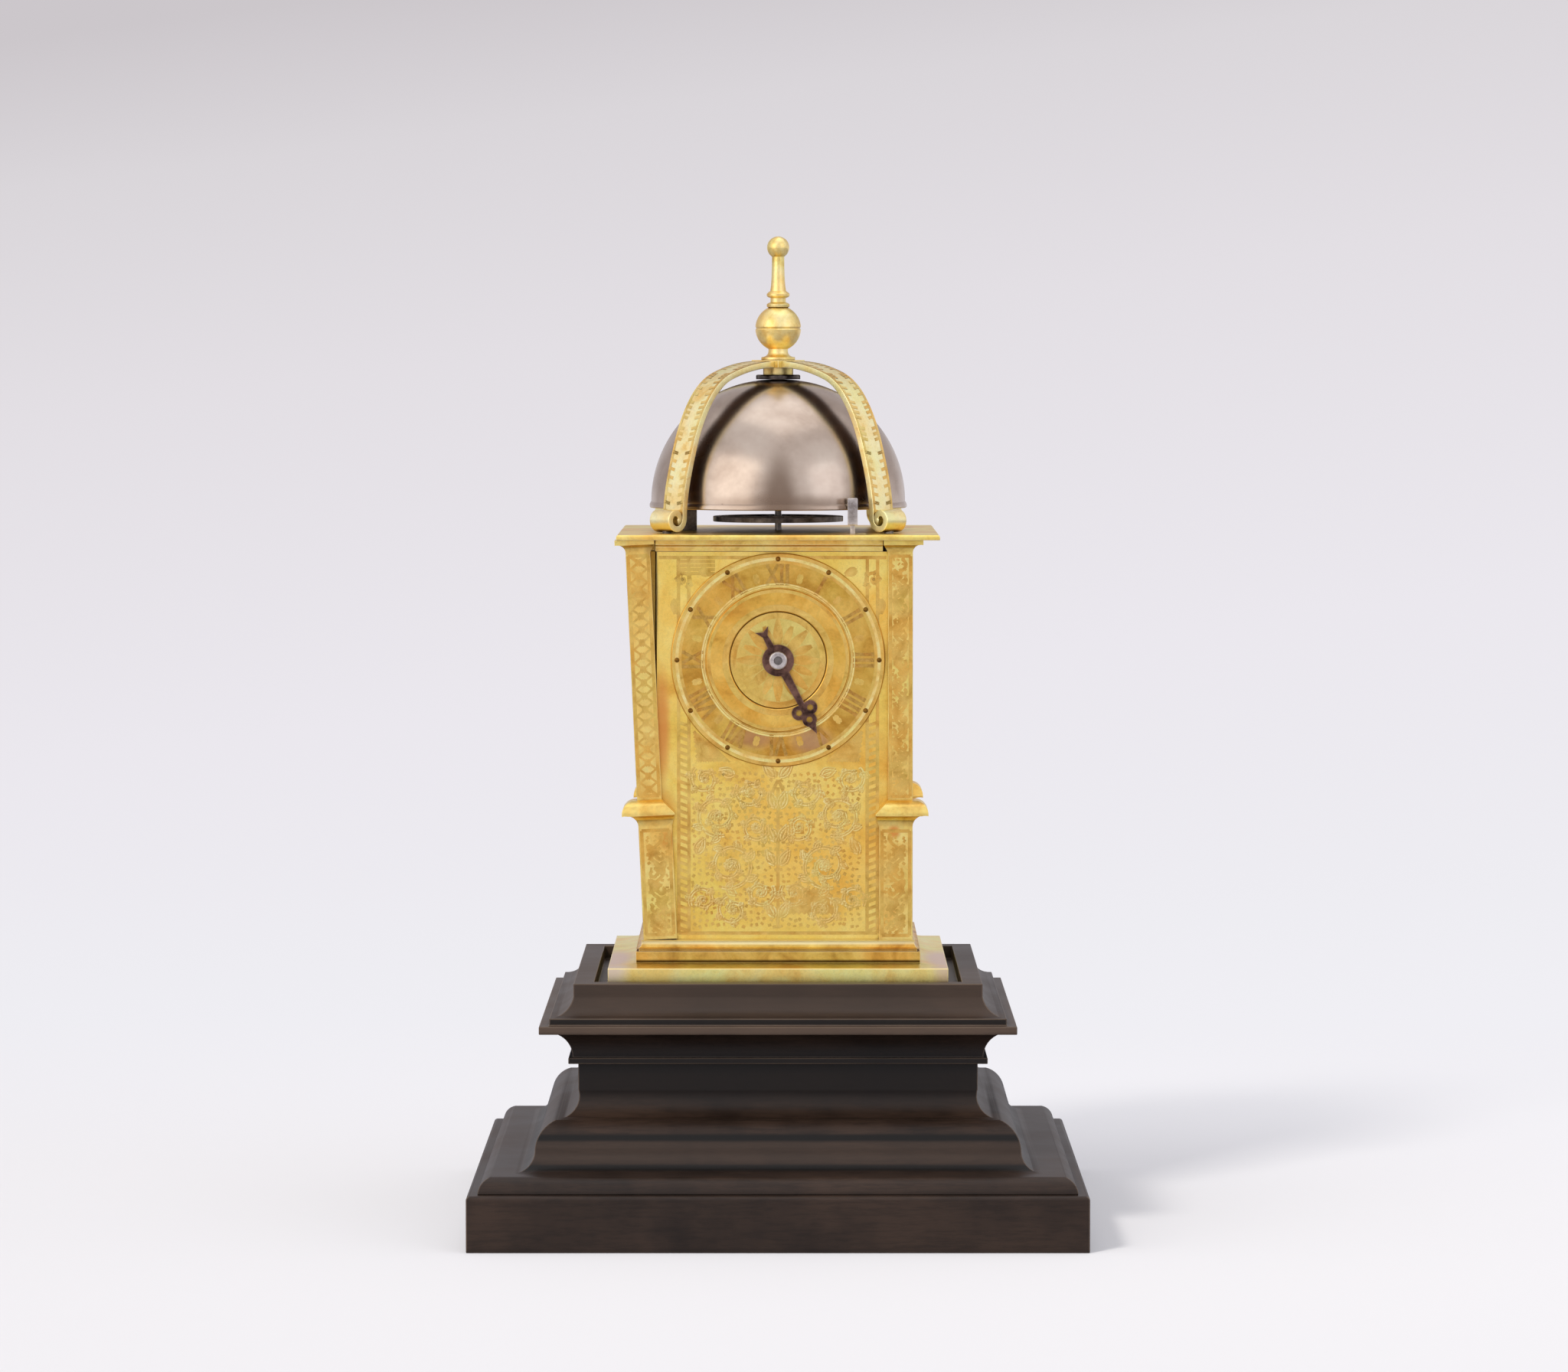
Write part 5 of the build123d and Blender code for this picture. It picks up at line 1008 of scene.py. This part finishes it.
bentBand = strapTree()
for name, turn in (("back_right", 45), ("back_left", 135), ("front_left", 225), ("front_right", 315)):
    node = "strap_" + name
    along = Vector((cos(radians(turn)), sin(radians(turn)), 0))
    across = Vector((-sin(radians(turn)), cos(radians(turn)), 0))
    carrier = lineCarrier(node + "_path", [[along * p.x + Vector((0, 0, topFace + p.y)) for p in band + roll]])
    piece = bakedPiece(node + "_shell", carrier, bentBand, {
        "Width": strap["width"] * mm, "Thickness": strap["thick"] * mm, "Ease": strap["ease"] * mm,
        "Across": tuple(across), "Metal": finishes["fireGiltStrap"]}, node, (node,))
    paintShadeInside(piece)
    shadeSoft(piece, 40)
    engrave(node + "_engraving", strapStrokes(along, across), node, "engravedStrap")
print("straps made")

# Steel under the bell, and the nut that holds it
for node, width in (("balance_wheel", 0.12), ("balance_cock", 0.2), ("bell_nut", 0.15)):
    easedPiece(node, width, "darkSteel")
easedPiece("hammer", 0.15, "paleSteel")

# Movement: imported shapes, seen when a door is open
movement = {
    "frameIron": ("frame_posts", "front_bar", "middle_bar", "back_bar"),
    "arborSteel": ("hour_arbor", "going_arbor", "second_arbor", "crown_arbor", "verge", "strike_arbor", "pin_arbor",
                   "fly", "hinge_pins", "strap_screws", "ratchet_clicks"),
    "wheelBrass": ("hour_wheel", "going_barrel", "great_wheel", "second_wheel", "crown_wheel", "strike_barrel",
                   "strike_wheel", "pin_wheel"),
}
for finish, names in movement.items():
    for node in names:
        cadNodes[node].data.materials.clear()
        cadNodes[node].data.materials.append(finishes[finish])
print("movement painted")

# Floor and backdrop in one sweep, pale lilac grey as in the photo
stageLook = {"front": -8.0, "bend": 1.1, "round": 0.9, "top": 3.2, "half": 9.0}  # metres
sweep = [(stageLook["front"], 0.0), (stageLook["bend"], 0.0)]
sweep += [(stageLook["bend"] + stageLook["round"] * sin(pi / 2 * k / 16),
           stageLook["round"] * (1 - cos(pi / 2 * k / 16))) for k in range(1, 17)]
sweep.append((stageLook["bend"] + stageLook["round"], stageLook["top"]))
work = bmesh.new()
left, right = [[work.verts.new((side * stageLook["half"], y, z)) for y, z in sweep] for side in (-1, 1)]
for k in range(len(sweep) - 1):
    work.faces.new((left[k], right[k], right[k + 1], left[k + 1]))
backdrop = newPiece("backdrop", work)
backdrop.data.shade_smooth()


# Matt paper, lit by itself far behind the clock. It falls off into shade up the wall and towards the left, as in
# the photo, and the metal sees the wall but not the floor's glow
def backdropPaper(name):
    tree, place = startMaterial(name)
    seen = addNode(tree, "LightPath", {}).outputs
    depth = addNode(tree, "SeparateXYZ", {"Vector": place}).outputs["Y"]
    climb = addNode(tree, "VectorMath", {0: place, 1: (-0.16, 0.25, 1.0)}, operation="DOT_PRODUCT")
    climbShare = addNode(tree, "MapRange", {"Value": climb, "From Min": -0.15, "From Max": 1.05})
    glow = addNode(tree, "ValToRGB", {"Fac": climbShare}, stops=(
        (0.0, "#f6f5f8"), (0.12, "#f2f1f6"), (0.3, "#eeedf2"), (0.5, "#ebe8ee"), (0.72, "#e3dfe4"),
        (0.86, "#dad6da"), (0.95, "#ccc7cb")))
    emission = addNode(tree, "Emission", {"Color": glow})
    nearness = addNode(tree, "VectorMath", {0: place, 1: (1.0, 1.15, 0)}, operation="DOT_PRODUCT")
    nearShare = addNode(tree, "MapRange", {"Value": nearness, "From Min": -0.6, "From Max": 0.5})
    tone = addNode(tree, "Mix", {
        "Factor": nearShare, "A": linear("#c0c0c3"), "B": linear("#e0e0e2")}, data_type="RGBA")
    sheet = addNode(tree, "Mix", {
        "Factor": seen["Is Camera Ray"], "A": linear("#a6a4a9"), "B": tone}, data_type="RGBA")
    paper = addNode(tree, "BsdfPrincipled", {"Roughness": 0.9, "Specular IOR Level": 0.1, "Base Color": sheet})
    lit = addNode(tree, "MapRange", {
        "Value": depth, "From Min": 0.12, "From Max": 0.55, "To Min": 0.2, "To Max": 1.0})
    wall = addNode(tree, "MapRange", {"Value": depth, "From Min": 0.9, "From Max": 1.4})
    inMetal = addNode(tree, "Math", {0: seen["Is Glossy Ray"], 1: wall}, operation="MULTIPLY")
    shown = addNode(tree, "Math", {0: seen["Is Camera Ray"], 1: inMetal}, operation="MAXIMUM")
    share = addNode(tree, "Math", {0: shown, 1: lit}, operation="MULTIPLY")
    blend = addNode(tree, "MixShader", {0: share, 1: paper, 2: emission})
    addNode(tree, "OutputMaterial", {"Surface": blend})


backdropPaper("backdropPaper")
backdrop.data.materials.append(finishes["backdropPaper"])

world = bpy.data.worlds.new("studioRoom")
bpy.context.scene.world = world
world.use_nodes = True
sky = world.node_tree.nodes["Background"].inputs
sky["Color"].default_value, sky["Strength"].default_value = linear("#dcdbe0"), 1.3


def areaLight(name, place, target, size, power, colour="#ffffff", shines=True):
    lamp = bpy.data.lights.new(name, "AREA")
    lamp.size, lamp.energy, lamp.color = size, power, linear(colour)[:3]
    holder = newObject(name, lamp)
    holder.location = place
    holder.visible_glossy = shines
    holder.rotation_euler = (Vector(target) - Vector(place)).to_track_quat("-Z", "Y").to_euler()


areaLight("keyLight", (-0.93, -1.38, 1.44), (0, 0, 0), 0.34, 34, "#fffaf2", False)
areaLight("softBox", (-1.3, -1.3, 0.8), (0, 0, 0.2), 1.6, 9, "#fffaf2")
areaLight("fillLight", (1.5, -1.4, 0.9), (0, 0, 0.16), 1.2, 3, "#f4f6ff")
areaLight("topLight", (0.1, 0.1, 1.7), (0, 0, 0.1), 1.2, 3)

# Camera where the photographer stood: a long lens, a little above the top of the case
photo = {"focal": 8166.0, "width": 2048, "sensor": 36.0, "shiftPixels": 8.0, "horizon": 430, "height": 1792,
         "scale": 0.2241, "plinthHalf": 410.5, "eyeHeight": 1213.3}
camera = bpy.data.cameras.new("camera")
camera.lens = photo["focal"] / photo["width"] * photo["sensor"]
camera.sensor_width = photo["sensor"]
camera.clip_start, camera.clip_end = 0.1, 20
eye = newObject("camera", camera)
eye.location = (photo["shiftPixels"] * photo["scale"] * mm,
                -(photo["focal"] + photo["plinthHalf"]) * photo["scale"] * mm,
                photo["eyeHeight"] * photo["scale"] * mm)
pitch = atan2(photo["height"] / 2 - photo["horizon"], photo["focal"])
eye.rotation_euler = (pi / 2 - pitch, 0, 0)
bpy.context.scene.camera = eye
bpy.context.scene.view_settings.view_transform = "Standard"
print("stage, lights and camera made")
